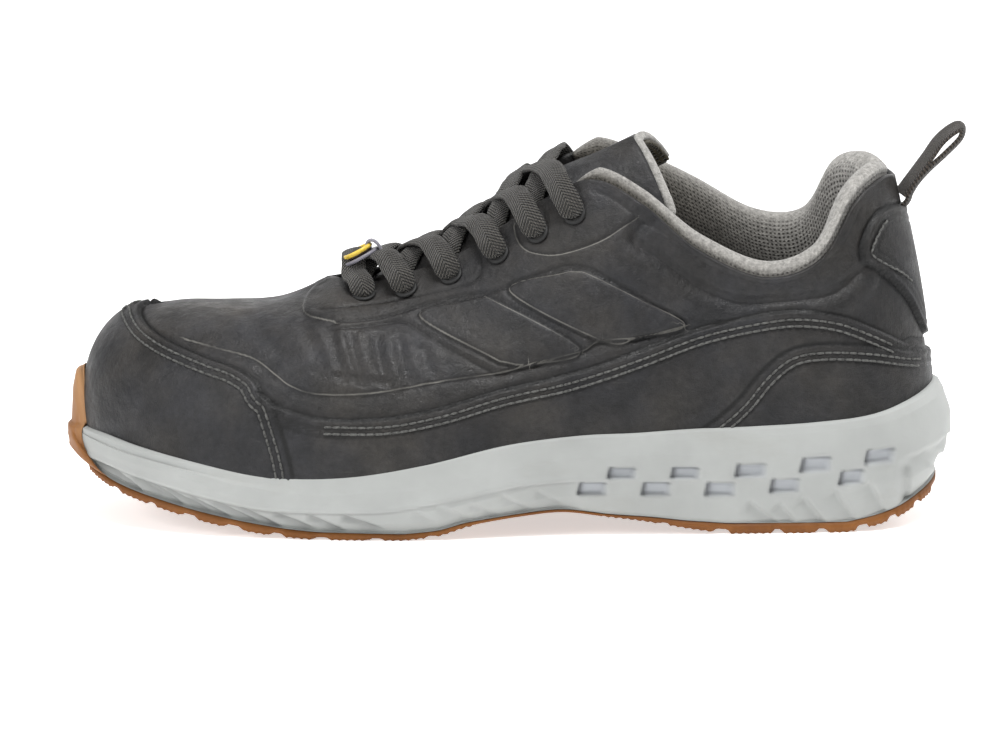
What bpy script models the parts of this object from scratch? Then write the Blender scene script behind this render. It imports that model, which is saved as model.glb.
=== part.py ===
"""Low-cut safety sneaker, left shoe, modelled as the pieces its maker puts together.

Metres, +Z up. The toe points to -X and the wearer's left, the outer side, is -Y.
While it is drawn, x runs from the toe (0) to the heel; the whole shoe is then moved so that the
middle of its footprint is the origin.

A place on the shoe is given by a row number and a share. The row number runs once round the shoe:
0 is the toe, LAST_ROW the heel, and the rows after it come back along the inner side. The share
runs from the foot of the upper (0) to its top edge or ridge (1).
"""

import math
from collections import namedtuple

import bmesh
import bpy
import numpy as np
from mathutils import Vector

# Driving sizes, in metres
SOLE_LENGTH = 0.305
BALL_WIDTH = 0.111
TOE_HEIGHT = 0.0740
INSTEP_HEIGHT = 0.1165
HEEL_HEIGHT = 0.1160
RIM_HEIGHT = 0.048
FOOTBED_HEIGHT = 0.0270
TOE_SPRING = 0.0240
ARCH_RISE = 0.0083

WALL = 0.0022
FIT_GAP = 0.0003
TOE_CAP_THICKNESS = 0.0010
RAND_THICKNESS = 0.0011
COUNTER_THICKNESS = 0.0014

Section = namedtuple(
    "Section",
    "x outer inner rim inset top_x top_outer top_inner follows height_outer height_inner "
    "lean low high tilt",
)

# One row for each section of the shoe, from the toe to the heel.
# x, top_x: shares of the sole's length. outer, inner, top_outer, top_inner: how far out the sole's
# edge and the upper's top edge lie, in shares of half the ball width. rim: height of the midsole's
# rim, a share of RIM_HEIGHT. inset: from the sole's edge in to the upper, in millimetres.
# follows: the named height that the top edge is a share of. lean: how far the wall leans out at its
# foot, degrees. low, high: length of the section's lower and upper curve handles, shares of its
# chord. tilt: slope of the wall at its top edge, degrees below level.
SECTIONS = [
    Section(0.000, -0.16, 0.16, 0.65, 6.4, 0.104, -0.08, 0.08, "toe", 0.978, 0.978, 7, 0.61, 0.27, 0),
    Section(0.013, 0.16, 0.45, 0.65, 6.2, 0.110, -0.08, 0.08, "toe", 0.980, 0.980, 7, 0.60, 0.28, 0),
    Section(0.043, 0.41, 0.67, 0.64, 5.8, 0.123, -0.07, 0.07, "toe", 0.985, 0.985, 7, 0.59, 0.31, 0),
    Section(0.089, 0.65, 0.81, 0.59, 5.3, 0.147, -0.06, 0.06, "toe", 0.995, 0.995, 7, 0.58, 0.35, 0),
    Section(0.154, 0.84, 0.90, 0.52, 4.7, 0.188, -0.04, 0.04, "toe", 0.996, 0.996, 7, 0.56, 0.38, 0),
    Section(0.236, 0.955, 0.955, 0.45, 3.8, 0.242, -0.02, 0.02, "toe", 1.012, 1.012, 7, 0.54, 0.38, 0),
    Section(0.321, 1.02, 0.97, 0.46, 3.8, 0.298, 0.0, 0.0, "instep", 0.706, 0.706, 7, 0.52, 0.36, 4),
    Section(0.410, 1.03, 0.93, 0.545, 4.0, 0.352, 0.22, 0.22, "instep", 0.703, 0.722, 6, 0.48, 0.34, 22),
    Section(0.498, 0.97, 0.82, 0.665, 4.3, 0.446, 0.27, 0.27, "instep", 0.790, 0.808, 5, 0.45, 0.33, 32),
    Section(0.575, 0.89, 0.73, 0.712, 4.8, 0.530, 0.32, 0.32, "instep", 0.935, 1.004, 3, 0.42, 0.32, 38),
    Section(0.640, 0.835, 0.69, 0.72, 5.2, 0.590, 0.40, 0.40, "instep", 1.007, 1.064, 2, 0.40, 0.31, 52),
    Section(0.700, 0.80, 0.69, 0.74, 5.6, 0.645, 0.50, 0.50, "instep", 0.940, 1.012, 2, 0.38, 0.30, 68),
    Section(0.770, 0.775, 0.71, 0.755, 6.0, 0.706, 0.57, 0.57, "heel", 0.813, 0.942, 2, 0.36, 0.30, 80),
    Section(0.840, 0.755, 0.73, 0.78, 6.4, 0.780, 0.61, 0.61, "heel", 0.733, 0.842, 2, 0.35, 0.30, 85),
    Section(0.902, 0.70, 0.69, 0.82, 6.8, 0.842, 0.57, 0.57, "heel", 0.785, 0.848, 2, 0.35, 0.30, 84),
    Section(0.950, 0.565, 0.565, 0.89, 8.0, 0.882, 0.45, 0.45, "heel", 0.945, 0.998, 3, 0.35, 0.30, 82),
    Section(0.987, 0.32, 0.32, 0.965, 8.9, 0.915, 0.25, 0.25, "heel", 1.010, 1.032, 4, 0.35, 0.30, 79),
    Section(1.000, 0.0, 0.0, 1.00, 9.1, 0.932, 0.0, 0.0, "heel", 1.010, 1.010, 5, 0.35, 0.28, 77),
]
LAST_ROW = len(SECTIONS) - 1
ROUND = 2 * LAST_ROW
VAMP_POINT = 6

# Side profiles: share of the sole's length, and height as a share of the size named beside it
TREAD = [
    (0.000, 1.00), (0.013, 0.85), (0.028, 0.71), (0.043, 0.61), (0.066, 0.51), (0.118, 0.335),
    (0.174, 0.175), (0.220, 0.075), (0.262, 0.018), (0.295, 0.0), (0.385, 0.0),
]
ARCH = [
    (0.385, 0.0), (0.420, 0.15), (0.456, 0.53), (0.511, 0.87), (0.554, 1.0), (0.607, 0.76),
    (0.643, 0.58), (0.711, 0.15), (0.748, 0.0), (0.872, 0.0),
]
HEEL_LIFT = [(0.872, 0.0), (0.905, 0.08), (0.931, 0.17), (0.951, 0.28), (0.974, 0.43), (1.0, 0.62)]
FLOOR = [
    (0.000, 1.03), (0.020, 1.00), (0.043, 0.90), (0.089, 0.75), (0.154, 0.59), (0.236, 0.475),
    (0.321, 0.445), (0.410, 0.49), (0.498, 0.60), (0.590, 0.73), (0.682, 0.84), (0.770, 0.915),
    (0.852, 0.95), (1.000, 1.00),
]


def hermite(points, x):
    """A smooth curve, without overshoot, through a short table of (x, height) rows."""
    xs = np.array([p[0] for p in points])
    ys = np.array([p[1] for p in points])
    grades = np.diff(ys) / np.diff(xs)
    slopes = np.concatenate(([grades[0]], np.zeros(len(xs) - 2), [grades[-1]]))
    for k in range(1, len(xs) - 1):
        if grades[k - 1] * grades[k] > 0:
            slopes[k] = 2 / (1 / grades[k - 1] + 1 / grades[k])
    i = int(np.clip(np.searchsorted(xs, x) - 1, 0, len(xs) - 2))
    step = xs[i + 1] - xs[i]
    s = min(max((x - xs[i]) / step, 0.0), 1.0)
    rise = ys[i + 1] - ys[i]
    bend = s * (1 - s) * ((1 - s) * (slopes[i] * step - rise) - s * (slopes[i + 1] * step - rise))
    return float(ys[i] + s * rise + bend)


def tread_height(x):
    """Height of the treads' lower faces at x: toe spring, ball, arch, heel."""
    share = x / SOLE_LENGTH
    if share < TREAD[-1][0]:
        return TOE_SPRING * hermite(TREAD, share)
    if share < ARCH[-1][0]:
        return ARCH_RISE * hermite(ARCH, share)
    return TOE_SPRING * hermite(HEEL_LIFT, share)


def floor_height(x):
    """Height of the floor inside the midsole's cup."""
    return FOOTBED_HEIGHT * hermite(FLOOR, x / SOLE_LENGTH)


def loop_of(outer, inner, sign=1):
    """One value for each row round the shoe, from the outer and the inner side's columns."""
    back = [sign * v for v in inner[-2:0:-1]]
    return np.array(list(outer) + back)


def column(name):
    return [getattr(s, name) for s in SECTIONS]


HALF_BALL = BALL_WIDTH / 2
TOP_SIZES = {"toe": TOE_HEIGHT, "instep": INSTEP_HEIGHT, "heel": HEEL_HEIGHT}
ROUND_X = SOLE_LENGTH * loop_of(column("x"), column("x"))
ROUND_Y = -HALF_BALL * loop_of(column("outer"), column("inner"), -1)
ROUND_RIM = RIM_HEIGHT * loop_of(column("rim"), column("rim"))
ROUND_INSET = 0.001 * loop_of(column("inset"), column("inset"))
TOP_X = SOLE_LENGTH * loop_of(column("top_x"), column("top_x"))
TOP_Y = -HALF_BALL * loop_of(column("top_outer"), column("top_inner"), -1)
TOP_Z = loop_of(
    [TOP_SIZES[s.follows] * s.height_outer for s in SECTIONS],
    [TOP_SIZES[s.follows] * s.height_inner for s in SECTIONS],
)
LEAN = loop_of(column("lean"), column("lean"))
LOW = loop_of(column("low"), column("low"))
HIGH = loop_of(column("high"), column("high"))
TILT = loop_of(column("tilt"), column("tilt"))


def around(values, row, corners=()):
    """Catmull-Rom value at a row number round the shoe. A corner row breaks the curve there."""
    n = len(values)
    i = math.floor(row)
    s = row - i
    before, here, after, beyond = (values[(i + k) % n] for k in (-1, 0, 1, 2))
    if i % n in corners:
        before = 2 * here - after
    if (i + 1) % n in corners:
        beyond = 2 * after - here
    return 0.5 * (
        2 * here
        + (after - before) * s
        + (2 * before - 5 * here + 4 * after - beyond) * s * s
        + (3 * here - before - 3 * after + beyond) * s**3
    )


VAMP_CORNERS = (VAMP_POINT, ROUND - VAMP_POINT)


def outline(row, inset=0.0):
    """Plan point on the sole's widest outline, moved in by inset."""
    step = 0.02
    x, y = around(ROUND_X, row), around(ROUND_Y, row)
    dx = around(ROUND_X, row + step) - around(ROUND_X, row - step)
    dy = around(ROUND_Y, row + step) - around(ROUND_Y, row - step)
    size = math.hypot(dx, dy)
    return np.array([x - inset * dy / size, y + inset * dx / size])


def top_edge(row):
    """Point on the upper's top line: the ridge of the vamp, then the throat and the collar."""
    return np.array([around(v, row, VAMP_CORNERS) for v in (TOP_X, TOP_Y, TOP_Z)])


def upper_point(row, share):
    """Point on the upper's outer face."""
    inset = around(ROUND_INSET, row)
    foot_x, foot_y = outline(row, inset)
    foot = np.array([foot_x, foot_y, floor_height(foot_x) + FIT_GAP])
    top = top_edge(row)
    chord = np.linalg.norm(top - foot)
    out = outline(row, 0.0) - outline(row, 0.001)
    out = np.array([out[0], out[1], 0.0]) / np.linalg.norm(out)
    away = np.array([foot[0] - top[0], foot[1] - top[1], 0.0])
    away /= max(np.linalg.norm(away), 1e-9)
    lean = math.radians(around(LEAN, row))
    tilt = math.radians(around(TILT, row, VAMP_CORNERS))
    up = np.array([0.0, 0.0, 1.0])
    low = foot + around(LOW, row) * chord * (math.cos(lean) * up + math.sin(lean) * out)
    high = top + around(HIGH, row) * chord * (math.cos(tilt) * away - math.sin(tilt) * up)
    a, b = 1 - share, share
    return a**3 * foot + 3 * a * a * b * low + 3 * a * b * b * high + b**3 * top


def upper_normal(row, share):
    """Unit vector out of the upper's face."""
    if min(row % ROUND, -row % ROUND) < VAMP_POINT:
        share = min(share, 0.985)
    low, high = max(share - 0.01, 0.0), min(share + 0.01, 1.0)
    along = upper_point(row + 0.02, share) - upper_point(row - 0.02, share)
    up = upper_point(row, high) - upper_point(row, low)
    normal = np.cross(along, up)
    return normal / np.linalg.norm(normal)


def skin(row, share, distance):
    """Point at a distance outside (or, below zero, inside) the upper's outer face."""
    normal = upper_normal(row, share)
    if share > 0.999 and min(row % ROUND, -row % ROUND) <= VAMP_POINT:
        normal = normal + upper_normal(-row, share)
        normal[1] = 0.0
        normal /= np.linalg.norm(normal)
    return upper_point(row, share) + distance * normal


def share_at(row, height):
    """Share at which the upper's section reaches a height, near its foot."""
    low, high = 0.0, 0.6
    for _ in range(18):
        middle = (low + high) / 2
        if upper_point(row, middle)[2] < height:
            low = middle
        else:
            high = middle
    return low


def spine(row):
    """Plan point on the line between the two sides, where the sole's rings close up."""
    side = min(row % ROUND, -row % ROUND)
    side = min(max(side, SPINE_ENDS[0]), SPINE_ENDS[1])
    a, b = outline(side), outline(-side)
    return (a + b) / 2


SPINE_ENDS = (3.0, 15.0)

# The sole's edge, by share of its length. Rim: how far its top edge is set in from the widest
# line, a share of EDGE_INSET. Foot: how far its lower edge is set in. Crease: height of the
# line between the smooth band and the stepped lower side, a share of RIM_HEIGHT.
EDGE_INSET = 0.006
RIM_INSET = [(0.0, 0.02), (0.05, 0.12), (0.15, 0.22), (0.5, 0.30), (0.8, 0.45), (0.93, 0.58), (1.0, 0.78)]
FOOT_INSET = [(0.0, 0.16), (0.05, 0.24), (0.2, 0.55), (0.5, 0.68), (0.75, 0.38), (0.9, 0.45), (1.0, 0.85)]
CREASE = [
    (0.0, 0.565), (0.06, 0.50), (0.13, 0.43), (0.20, 0.30), (0.30, 0.195), (0.40, 0.215),
    (0.49, 0.31), (0.56, 0.40), (0.62, 0.405), (0.80, 0.375), (0.93, 0.36), (0.975, 0.41), (1.0, 0.55),
]
# Gum rubber under the midsole, tread included, as a share of GUM_THICKNESS
GUM_THICKNESS = 0.0042
GUM = [
    (0.0, 0.55), (0.06, 0.75), (0.2, 0.90), (0.3, 0.76), (0.42, 0.62), (0.50, 0.40), (0.60, 0.40), (0.68, 0.70),
    (0.75, 1.0), (1.0, 1.0),
]
GUARD_ROOM = 0.0024
GUARD_THICKNESS = 0.0032
GUARD_HEIGHT = 0.0505
GUARD_PROUD = 0.0011
GUARD_LEAN = 0.06
STEP_DEPTH = 0.0014


def guard_room(row):
    """How far the midsole is set back at the toe for the guard in front of it."""
    side = min(row % ROUND, -row % ROUND)
    s = min(max((2.7 - side) / 1.6, 0.0), 1.0)
    return GUARD_ROOM * s * s * (3 - 2 * s)


def sole_bottom(x):
    """Height of the midsole's lower face."""
    return tread_height(x) + GUM_THICKNESS * hermite(GUM, x / SOLE_LENGTH)


def edge_point(row, inset, z):
    x, y = outline(row, inset)
    return (x, y, z)


def solid(name, rings, slot, closed=True, wrapped=False, skip=()):
    """One body from rings of points, each joined to the next; `skip` leaves out cells."""
    mesh = bmesh.new()
    count = len(rings[0])
    verts = [[mesh.verts.new(p) for p in ring] for ring in rings]
    pairs = list(zip(range(len(rings)), range(1, len(rings))))
    if wrapped:
        pairs.append((len(rings) - 1, 0))
    for a, b in pairs:
        for i in range(count if closed else count - 1):
            if (a, i) in skip:
                continue
            j = (i + 1) % count
            mesh.faces.new((verts[a][i], verts[a][j], verts[b][j], verts[b][i]))
    if not closed:
        mesh.faces.new([ring[0] for ring in verts])
        mesh.faces.new([ring[-1] for ring in reversed(verts)])
    bmesh.ops.remove_doubles(mesh, verts=mesh.verts, dist=1e-6)
    bmesh.ops.dissolve_degenerate(mesh, edges=mesh.edges, dist=1e-7)
    bmesh.ops.recalc_face_normals(mesh, faces=mesh.faces)
    data = bpy.data.meshes.new(name)
    mesh.to_mesh(data)
    mesh.free()
    piece = bpy.data.objects.new(name, data)
    PARTS.objects.link(piece)
    data.materials.append(material(slot))
    return piece


MATERIALS = {
    "grey_foam": ((0.46, 0.47, 0.46), 0.0, 0.55),
    "gum_rubber": ((0.42, 0.19, 0.07), 0.0, 0.6),
    "black_leather": ((0.055, 0.054, 0.052), 0.0, 0.5),
    "grey_mesh": ((0.42, 0.41, 0.39), 0.0, 0.9),
    "dark_foam": ((0.06, 0.06, 0.06), 0.0, 0.85),
    "black_cord": ((0.05, 0.049, 0.046), 0.0, 0.8),
    "tag_plastic": ((0.40, 0.34, 0.14), 0.0, 0.4),
}


def material(slot):
    found = bpy.data.materials.get(slot)
    if found:
        return found
    color, metallic, roughness = MATERIALS[slot]
    made = bpy.data.materials.new(slot)
    made.use_nodes = True
    shader = made.node_tree.nodes["Principled BSDF"]
    shader.inputs["Base Color"].default_value = (*color, 1.0)
    shader.inputs["Metallic"].default_value = metallic
    shader.inputs["Roughness"].default_value = roughness
    return made


def span(start, end, count):
    return [float(v) for v in np.linspace(start, end, count)]


def along(points, value):
    """Straight-line value of a short table of (place, value) rows."""
    return float(np.interp(value, [p[0] for p in points], [p[1] for p in points]))


COLUMNS = span(0, ROUND, 2 * ROUND + 1)[:-1]


def to_spine(ring, height, shares, columns=COLUMNS):
    """Rings from an edge ring in to the spine, at a height given for each x."""
    rings = []
    for share in shares:
        row_points = []
        for row, point in zip(columns, ring):
            centre = spine(row)
            x = centre[0] + share * (point[0] - centre[0])
            y = centre[1] + share * (point[1] - centre[1])
            row_points.append((x, y, height(x)))
        rings.append(row_points)
    return rings


SOLE_RINGS = (1.0, 0.55, 0.0)


def side_profile(row):
    """The midsole's side at a row, rim to foot, as (set in from the widest line, height)."""
    rim = around(ROUND_RIM, row)
    share = outline(row)[0] / SOLE_LENGTH
    room = guard_room(row)
    top = EDGE_INSET * hermite(RIM_INSET, share)
    foot = EDGE_INSET * hermite(FOOT_INSET, share) + room
    bottom = sole_bottom(outline(row, foot)[0])
    crease = max(RIM_HEIGHT * hermite(CREASE, share), bottom + 0.25 * (rim - bottom))
    ledge = room + min(STEP_DEPTH, 0.45 * (foot - room))
    return [
        (room + top + 0.0004, rim),
        (room + 0.75 * top, rim - 0.0015),
        (room + 0.12 * top, (rim + crease) / 2),
        (room, crease),
        (ledge, crease - 0.0012),
        (0.45 * foot + 0.55 * ledge, 0.4 * crease + 0.6 * bottom),
        (foot, bottom),
    ]


def make_midsole():
    foot = [skin(row, 0.0, FIT_GAP) for row in COLUMNS]
    floor = [(p[0], p[1], floor_height(p[0])) for p in foot]
    rings = to_spine(floor, floor_height, (0.0, 0.5)) + [floor]
    for share in (0.5, 1.0):
        ring = []
        for row in COLUMNS:
            ring.append(skin(row, share * share_at(row, around(ROUND_RIM, row)), FIT_GAP))
        rings.append(ring)
    sides = [side_profile(row) for row in COLUMNS]
    for k in range(len(sides[0])):
        rings.append([edge_point(row, *side[k]) for row, side in zip(COLUMNS, sides)])
    rings += to_spine(rings[-1], sole_bottom, SOLE_RINGS[1:])
    return solid("midsole", rings, "grey_foam")


# Blocks cut into each side of the heel, in two staggered rows. Shares of the sole's length for the
# first block and the pitch; heights as shares of RIM_HEIGHT.
BLOCK_ROWS = [
    {"start": 0.576, "pitch": 0.0695, "count": 5, "low": 0.305, "high": 0.395, "climb": 0.010},
    {"start": 0.610, "pitch": 0.0695, "count": 5, "low": 0.412, "high": 0.502, "climb": 0.016},
]
BLOCK_LENGTH = 0.0098
BLOCK_DEPTH = 0.0020


def row_at(x, side=1):
    """Row number at which the sole's outline reaches x, on the outer (1) or inner (-1) side."""
    low, high = 1.0, LAST_ROW - 0.5
    for _ in range(24):
        middle = (low + high) / 2
        if outline(side * middle)[0] < x:
            low = middle
        else:
            high = middle
    return side * low


def box_corners(row, low, high, length, depth):
    """Eight corners of a block let into the sole's edge."""
    here = outline(row)
    inward = outline(row, 0.001) - here
    inward /= np.linalg.norm(inward)
    tangent = np.array([-inward[1], inward[0]])
    corners = []
    for z in (low, high):
        for a, b in ((-1, -1), (1, -1), (1, 1), (-1, 1)):
            reach = depth if b > 0 else -0.004
            x, y = here + tangent * a * length / 2 + inward * reach
            corners.append((x, y, z))
    return corners


def make_block_cutter():
    mesh = bmesh.new()
    for side in (1, -1):
        for blocks in BLOCK_ROWS:
            for i in range(blocks["count"]):
                share = blocks["start"] + i * blocks["pitch"]
                lift = max(share - 0.75, 0.0) / 0.2 * blocks["climb"] * 2
                row = row_at(share * SOLE_LENGTH + BLOCK_LENGTH / 2, side)
                low = RIM_HEIGHT * (blocks["low"] + lift * 2.5)
                high = RIM_HEIGHT * (blocks["high"] + lift * 2.5)
                verts = [mesh.verts.new(p) for p in box_corners(row, low, high, BLOCK_LENGTH, BLOCK_DEPTH)]
                for face in ((0, 1, 2, 3), (4, 5, 6, 7), (0, 1, 5, 4), (1, 2, 6, 5), (2, 3, 7, 6), (3, 0, 4, 7)):
                    mesh.faces.new([verts[k] for k in face])
    bmesh.ops.recalc_face_normals(mesh, faces=mesh.faces)
    data = bpy.data.meshes.new("block_cutter")
    mesh.to_mesh(data)
    mesh.free()
    cutter = bpy.data.objects.new("block_cutter", data)
    CUTTERS.objects.link(cutter)
    cutter.hide_render = True
    cutter.display_type = "WIRE"
    return cutter


def cut(piece, cutter, operation="DIFFERENCE"):
    modifier = piece.modifiers.new(cutter.name, "BOOLEAN")
    modifier.operation = operation
    modifier.solver = "EXACT"
    modifier.object = cutter


# Lugs round the tread's edge: row numbers where each starts and ends, the same on both sides
EDGE_LUGS = [
    (1.20, 2.30), (2.50, 3.18), (3.30, 3.78), (4.00, 4.42), (4.63, 5.02), (5.18, 5.60), (5.77, 6.30),
    (6.45, 7.00), (7.10, 7.60), (9.40, 10.45), (10.60, 11.38), (11.60, 12.28), (12.42, 12.98),
    (13.15, 13.70), (13.92, 14.40), (14.62, 15.20), (15.40, 16.00),
]
# Shares of the way from the spine to the sole's edge, in rings: edge lugs, groove, middle lugs
LUG_RINGS = (1.0, 0.74, 0.68, 0.36, 0.30, 0.0)
PLATE_SHARE = 0.45
PLATE_GAP = 0.0008


def plate_bottom(x):
    """Lower face of the gum plate, between the lugs."""
    return plate_top(x) - PLATE_SHARE * GUM_THICKNESS * hermite(GUM, x / SOLE_LENGTH)


def plate_top(x):
    return sole_bottom(x) - PLATE_GAP


def tread_point(row, share, height):
    """Point of the gum plate, a share of the way from the spine to its edge."""
    inset = EDGE_INSET * hermite(FOOT_INSET, outline(row)[0] / SOLE_LENGTH) + guard_room(row)
    x, y = spine(row) + share * (outline(row, inset) - spine(row))
    return (x, y, height(x))


def make_outsole():
    side = sorted({row for lug in EDGE_LUGS for row in lug} | {0.0, 0.6, 8.4, 9.0, 16.3, LAST_ROW})
    columns = side + [ROUND - row for row in reversed(side[1:-1])]
    rings = [[tread_point(row, share, plate_top) for row in columns] for share in SOLE_RINGS[::-1]]
    rings += [[tread_point(row, share, plate_bottom) for row in columns] for share in LUG_RINGS]
    piece = solid("outsole", rings, "gum_rubber")
    raise_lugs(piece, columns)
    return piece


def in_lug(row):
    side = min(row % ROUND, -row % ROUND)
    return any(start < side < end for start, end in EDGE_LUGS)


def raise_lugs(piece, columns):
    """Press the lugs' faces down to the tread's own curve."""
    mesh = bmesh.new()
    mesh.from_mesh(piece.data)
    mesh.faces.ensure_lookup_table()
    count = len(columns)
    wanted = []
    for ring in (0, 2):
        for i in range(count):
            middle = (columns[i] + (columns[(i + 1) % count] if i + 1 < count else ROUND)) / 2
            if not in_lug(middle):
                continue
            corners = []
            for share in (LUG_RINGS[ring], LUG_RINGS[ring + 1]):
                for row in (columns[i], columns[(i + 1) % count]):
                    corners.append(tread_point(row, share, plate_bottom)[:2])
            wanted.append(np.mean(corners, axis=0))
    chosen = []
    for face in mesh.faces:
        centre = face.calc_center_median()
        if face.normal.z > -0.5:
            continue
        if any(math.hypot(centre.x - x, centre.y - y) < 1e-4 for x, y in wanted):
            chosen.append(face)
    grown = bmesh.ops.extrude_face_region(mesh, geom=chosen)
    for item in grown["geom"]:
        if isinstance(item, bmesh.types.BMVert):
            item.co.z = tread_height(item.co.x)
    bmesh.ops.delete(mesh, geom=chosen, context="FACES")
    bmesh.ops.recalc_face_normals(mesh, faces=mesh.faces)
    mesh.to_mesh(piece.data)
    mesh.free()


GUARD_ROWS = span(-2.3, 1.05, 14)
GUARD_LEVELS = span(0.0, 1.0, 6)
GUARD_FALL = 0.018


def make_toe_guard():
    outer, inner = [], []
    for level in GUARD_LEVELS:
        outer_row, inner_row = [], []
        for row in GUARD_ROWS:
            profile = side_profile(row)[::-1]
            low = profile[0][1] + 0.0002
            end = GUARD_ROWS[-1] if row > 0 else GUARD_ROWS[0]
            high = GUARD_HEIGHT - GUARD_FALL * (row / end) ** 2.5
            z = low + level * (high - low)
            back = along([(height, inset) for inset, height in profile[:5]], z) - 4 * FIT_GAP
            front = max(back - GUARD_THICKNESS, -GUARD_PROUD) + max(level - 0.75, 0.0) * 0.004
            lean = max(z - profile[-1][1], 0.0) * GUARD_LEAN
            outer_row.append(edge_point(row, min(front, back - 0.0006) + lean, z))
            inner_row.append(edge_point(row, back + lean, z))
        outer.append(outer_row)
        inner.append(inner_row)
    return solid("toe_guard", outer + inner[::-1], "gum_rubber", closed=False, wrapped=True)


UPPER_SHARES = (0.0, 0.14, 0.28, 0.42, 0.56, 0.69, 0.81, 0.91, 1.0)


def make_upper():
    outer = [[skin(row, share, 0.0) for row in COLUMNS] for share in UPPER_SHARES]
    inner = [[skin(row, share, -WALL) for row in COLUMNS] for share in UPPER_SHARES]
    rings = outer + inner[::-1]
    top = len(outer) - 1
    skip = set()
    for i, row in enumerate(COLUMNS):
        after = row + 0.5
        if after <= VAMP_POINT or row >= ROUND - VAMP_POINT:
            skip.add((top, i))
    return solid("upper", rings, "black_leather", wrapped=True, skip=skip)


INSOLE_THICKNESS = 0.0042
INSOLE_ROOM = 0.0008


def make_insole():
    columns = COLUMNS[::2]
    edge = []
    for row in columns:
        x, y = outline(row, around(ROUND_INSET, row) + WALL + INSOLE_ROOM)
        edge.append((x, y, 0.0))

    def low(x):
        return floor_height(x) + FIT_GAP

    def high(x):
        return floor_height(x) + FIT_GAP + INSOLE_THICKNESS

    bottom = to_spine(edge, low, (0.0, 1.0), columns)
    top = to_spine(edge, high, (1.0, 0.97, 0.0), columns)
    top[0] = [(x, y, z - 0.001) for x, y, z in top[0]]
    return solid("insole", bottom + top, "dark_foam")


def patch(name, low, high, thickness, slot, across=4, gap=FIT_GAP):
    """Overlay on the upper between two lines of (row, share) places, with its own thickness."""
    outer, inner = [], []
    for k in range(across + 1):
        outer_row, inner_row = [], []
        for (row_a, share_a), (row_b, share_b) in zip(low, high):
            row = row_a + (row_b - row_a) * k / across
            share = share_a + (share_b - share_a) * k / across
            outer_row.append(skin(row, share, gap + thickness))
            inner_row.append(skin(row, share, gap))
        outer.append(outer_row)
        inner.append(inner_row)
    return solid(name, outer + inner[::-1], slot, closed=False, wrapped=True)


def above_rim(row):
    """Share of the upper's section just clear of the midsole's rim."""
    return share_at(row, around(ROUND_RIM, row) + 0.0006)


# Edges of the overlays, as (row, share) on the outer side; the inner side is the same
TOE_CAP_EDGE = [
    (0.0, 0.972), (0.80, 0.93), (1.50, 0.86), (1.78, 0.77), (1.98, 0.714), (2.66, 0.606), (3.36, 0.528),
    (4.11, 0.464), (4.50, 0.431), (4.78, 0.384), (4.93, 0.326), (5.04, 0.28), (5.16, 0.21), (5.26, 0.14),
]
RAND_EDGE = [
    (5.12, 0.275), (5.70, 0.239), (6.53, 0.255), (7.24, 0.295), (7.98, 0.327), (8.80, 0.316), (9.43, 0.326),
    (10.16, 0.362), (11.50, 0.528), (12.75, 0.735), (13.43, 0.757), (14.07, 0.660), (14.68, 0.501),
    (15.20, 0.420), (15.7, 0.385),
]
COUNTER_EDGE = [
    (11.17, 0.118), (11.89, 0.254), (12.35, 0.395), (12.81, 0.519), (13.21, 0.574), (13.72, 0.558),
    (14.47, 0.456), (15.22, 0.370), (16.0, 0.330), (17.0, 0.315),
]
TAB_LOW = [
    (14.86, 0.790), (15.00, 0.735), (15.48, 0.626), (15.90, 0.530), (16.25, 0.440), (16.6, 0.385),
    (17.0, 0.375),
]
TAB_HIGH = [(14.86, 0.810), (15.10, 0.848), (15.40, 0.880), (15.75, 0.885), (16.4, 0.870), (17.0, 0.860)]
EDGE_GAP = 0.010


def make_toe_cap():
    last = TOE_CAP_EDGE[-1][0]
    low, high = [], []
    for s in span(0.0, 1.0, 17):
        row_low = last * s**0.85
        row_high = along([(0.0, 0.0), (0.3, 1.5), (0.42, 2.0), (0.7, 4.5), (0.78, 4.85), (1.0, last)], s)
        low.append((row_low, above_rim(row_low)))
        high.append((row_high, along(TOE_CAP_EDGE, row_high)))
    low = [(-row, share) for row, share in low[:0:-1]] + low
    high = [(-row, share) for row, share in high[:0:-1]] + high
    return patch("toe_cap", low, high, TOE_CAP_THICKNESS, "black_leather", across=6, gap=3 * FIT_GAP)


def rand_low(row):
    if row < COUNTER_EDGE[0][0] - 0.1:
        return above_rim(row)
    return max(above_rim(row), along(COUNTER_EDGE, row) + EDGE_GAP)


def make_rand(name, side):
    low, high = [], []
    for s in span(0.0, 1.0, 34):
        row_low = 5.35 + s * (15.7 - 5.35)
        row_high = 5.16 + s * (15.7 - 5.16)
        low.append((side * row_low, rand_low(row_low)))
        high.append((side * row_high, along(RAND_EDGE, row_high)))
    return patch(name, low, high, RAND_THICKNESS, "black_leather", across=2)


def make_counter():
    first = COUNTER_EDGE[0][0] + 0.15
    rows = span(first, LAST_ROW, 18)
    low = [(row, above_rim(row)) for row in rows]
    high = [(row, max(along(COUNTER_EDGE, row), above_rim(row) + 0.02)) for row in rows]
    low += [(ROUND - row, share) for row, share in low[-2::-1]]
    high += [(ROUND - row, share) for row, share in high[-2::-1]]
    return patch("heel_counter", low, high, COUNTER_THICKNESS, "black_leather", across=4)


def make_heel_tab():
    rows = span(TAB_LOW[0][0], LAST_ROW, 9)
    low = [(row, along(TAB_LOW, row)) for row in rows]
    high = [(row, along(TAB_HIGH, row)) for row in rows]
    low += [(ROUND - row, share) for row, share in low[-2::-1]]
    high += [(ROUND - row, share) for row, share in high[-2::-1]]
    return patch("heel_tab", low, high, COUNTER_THICKNESS, "black_leather", across=4)


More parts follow.
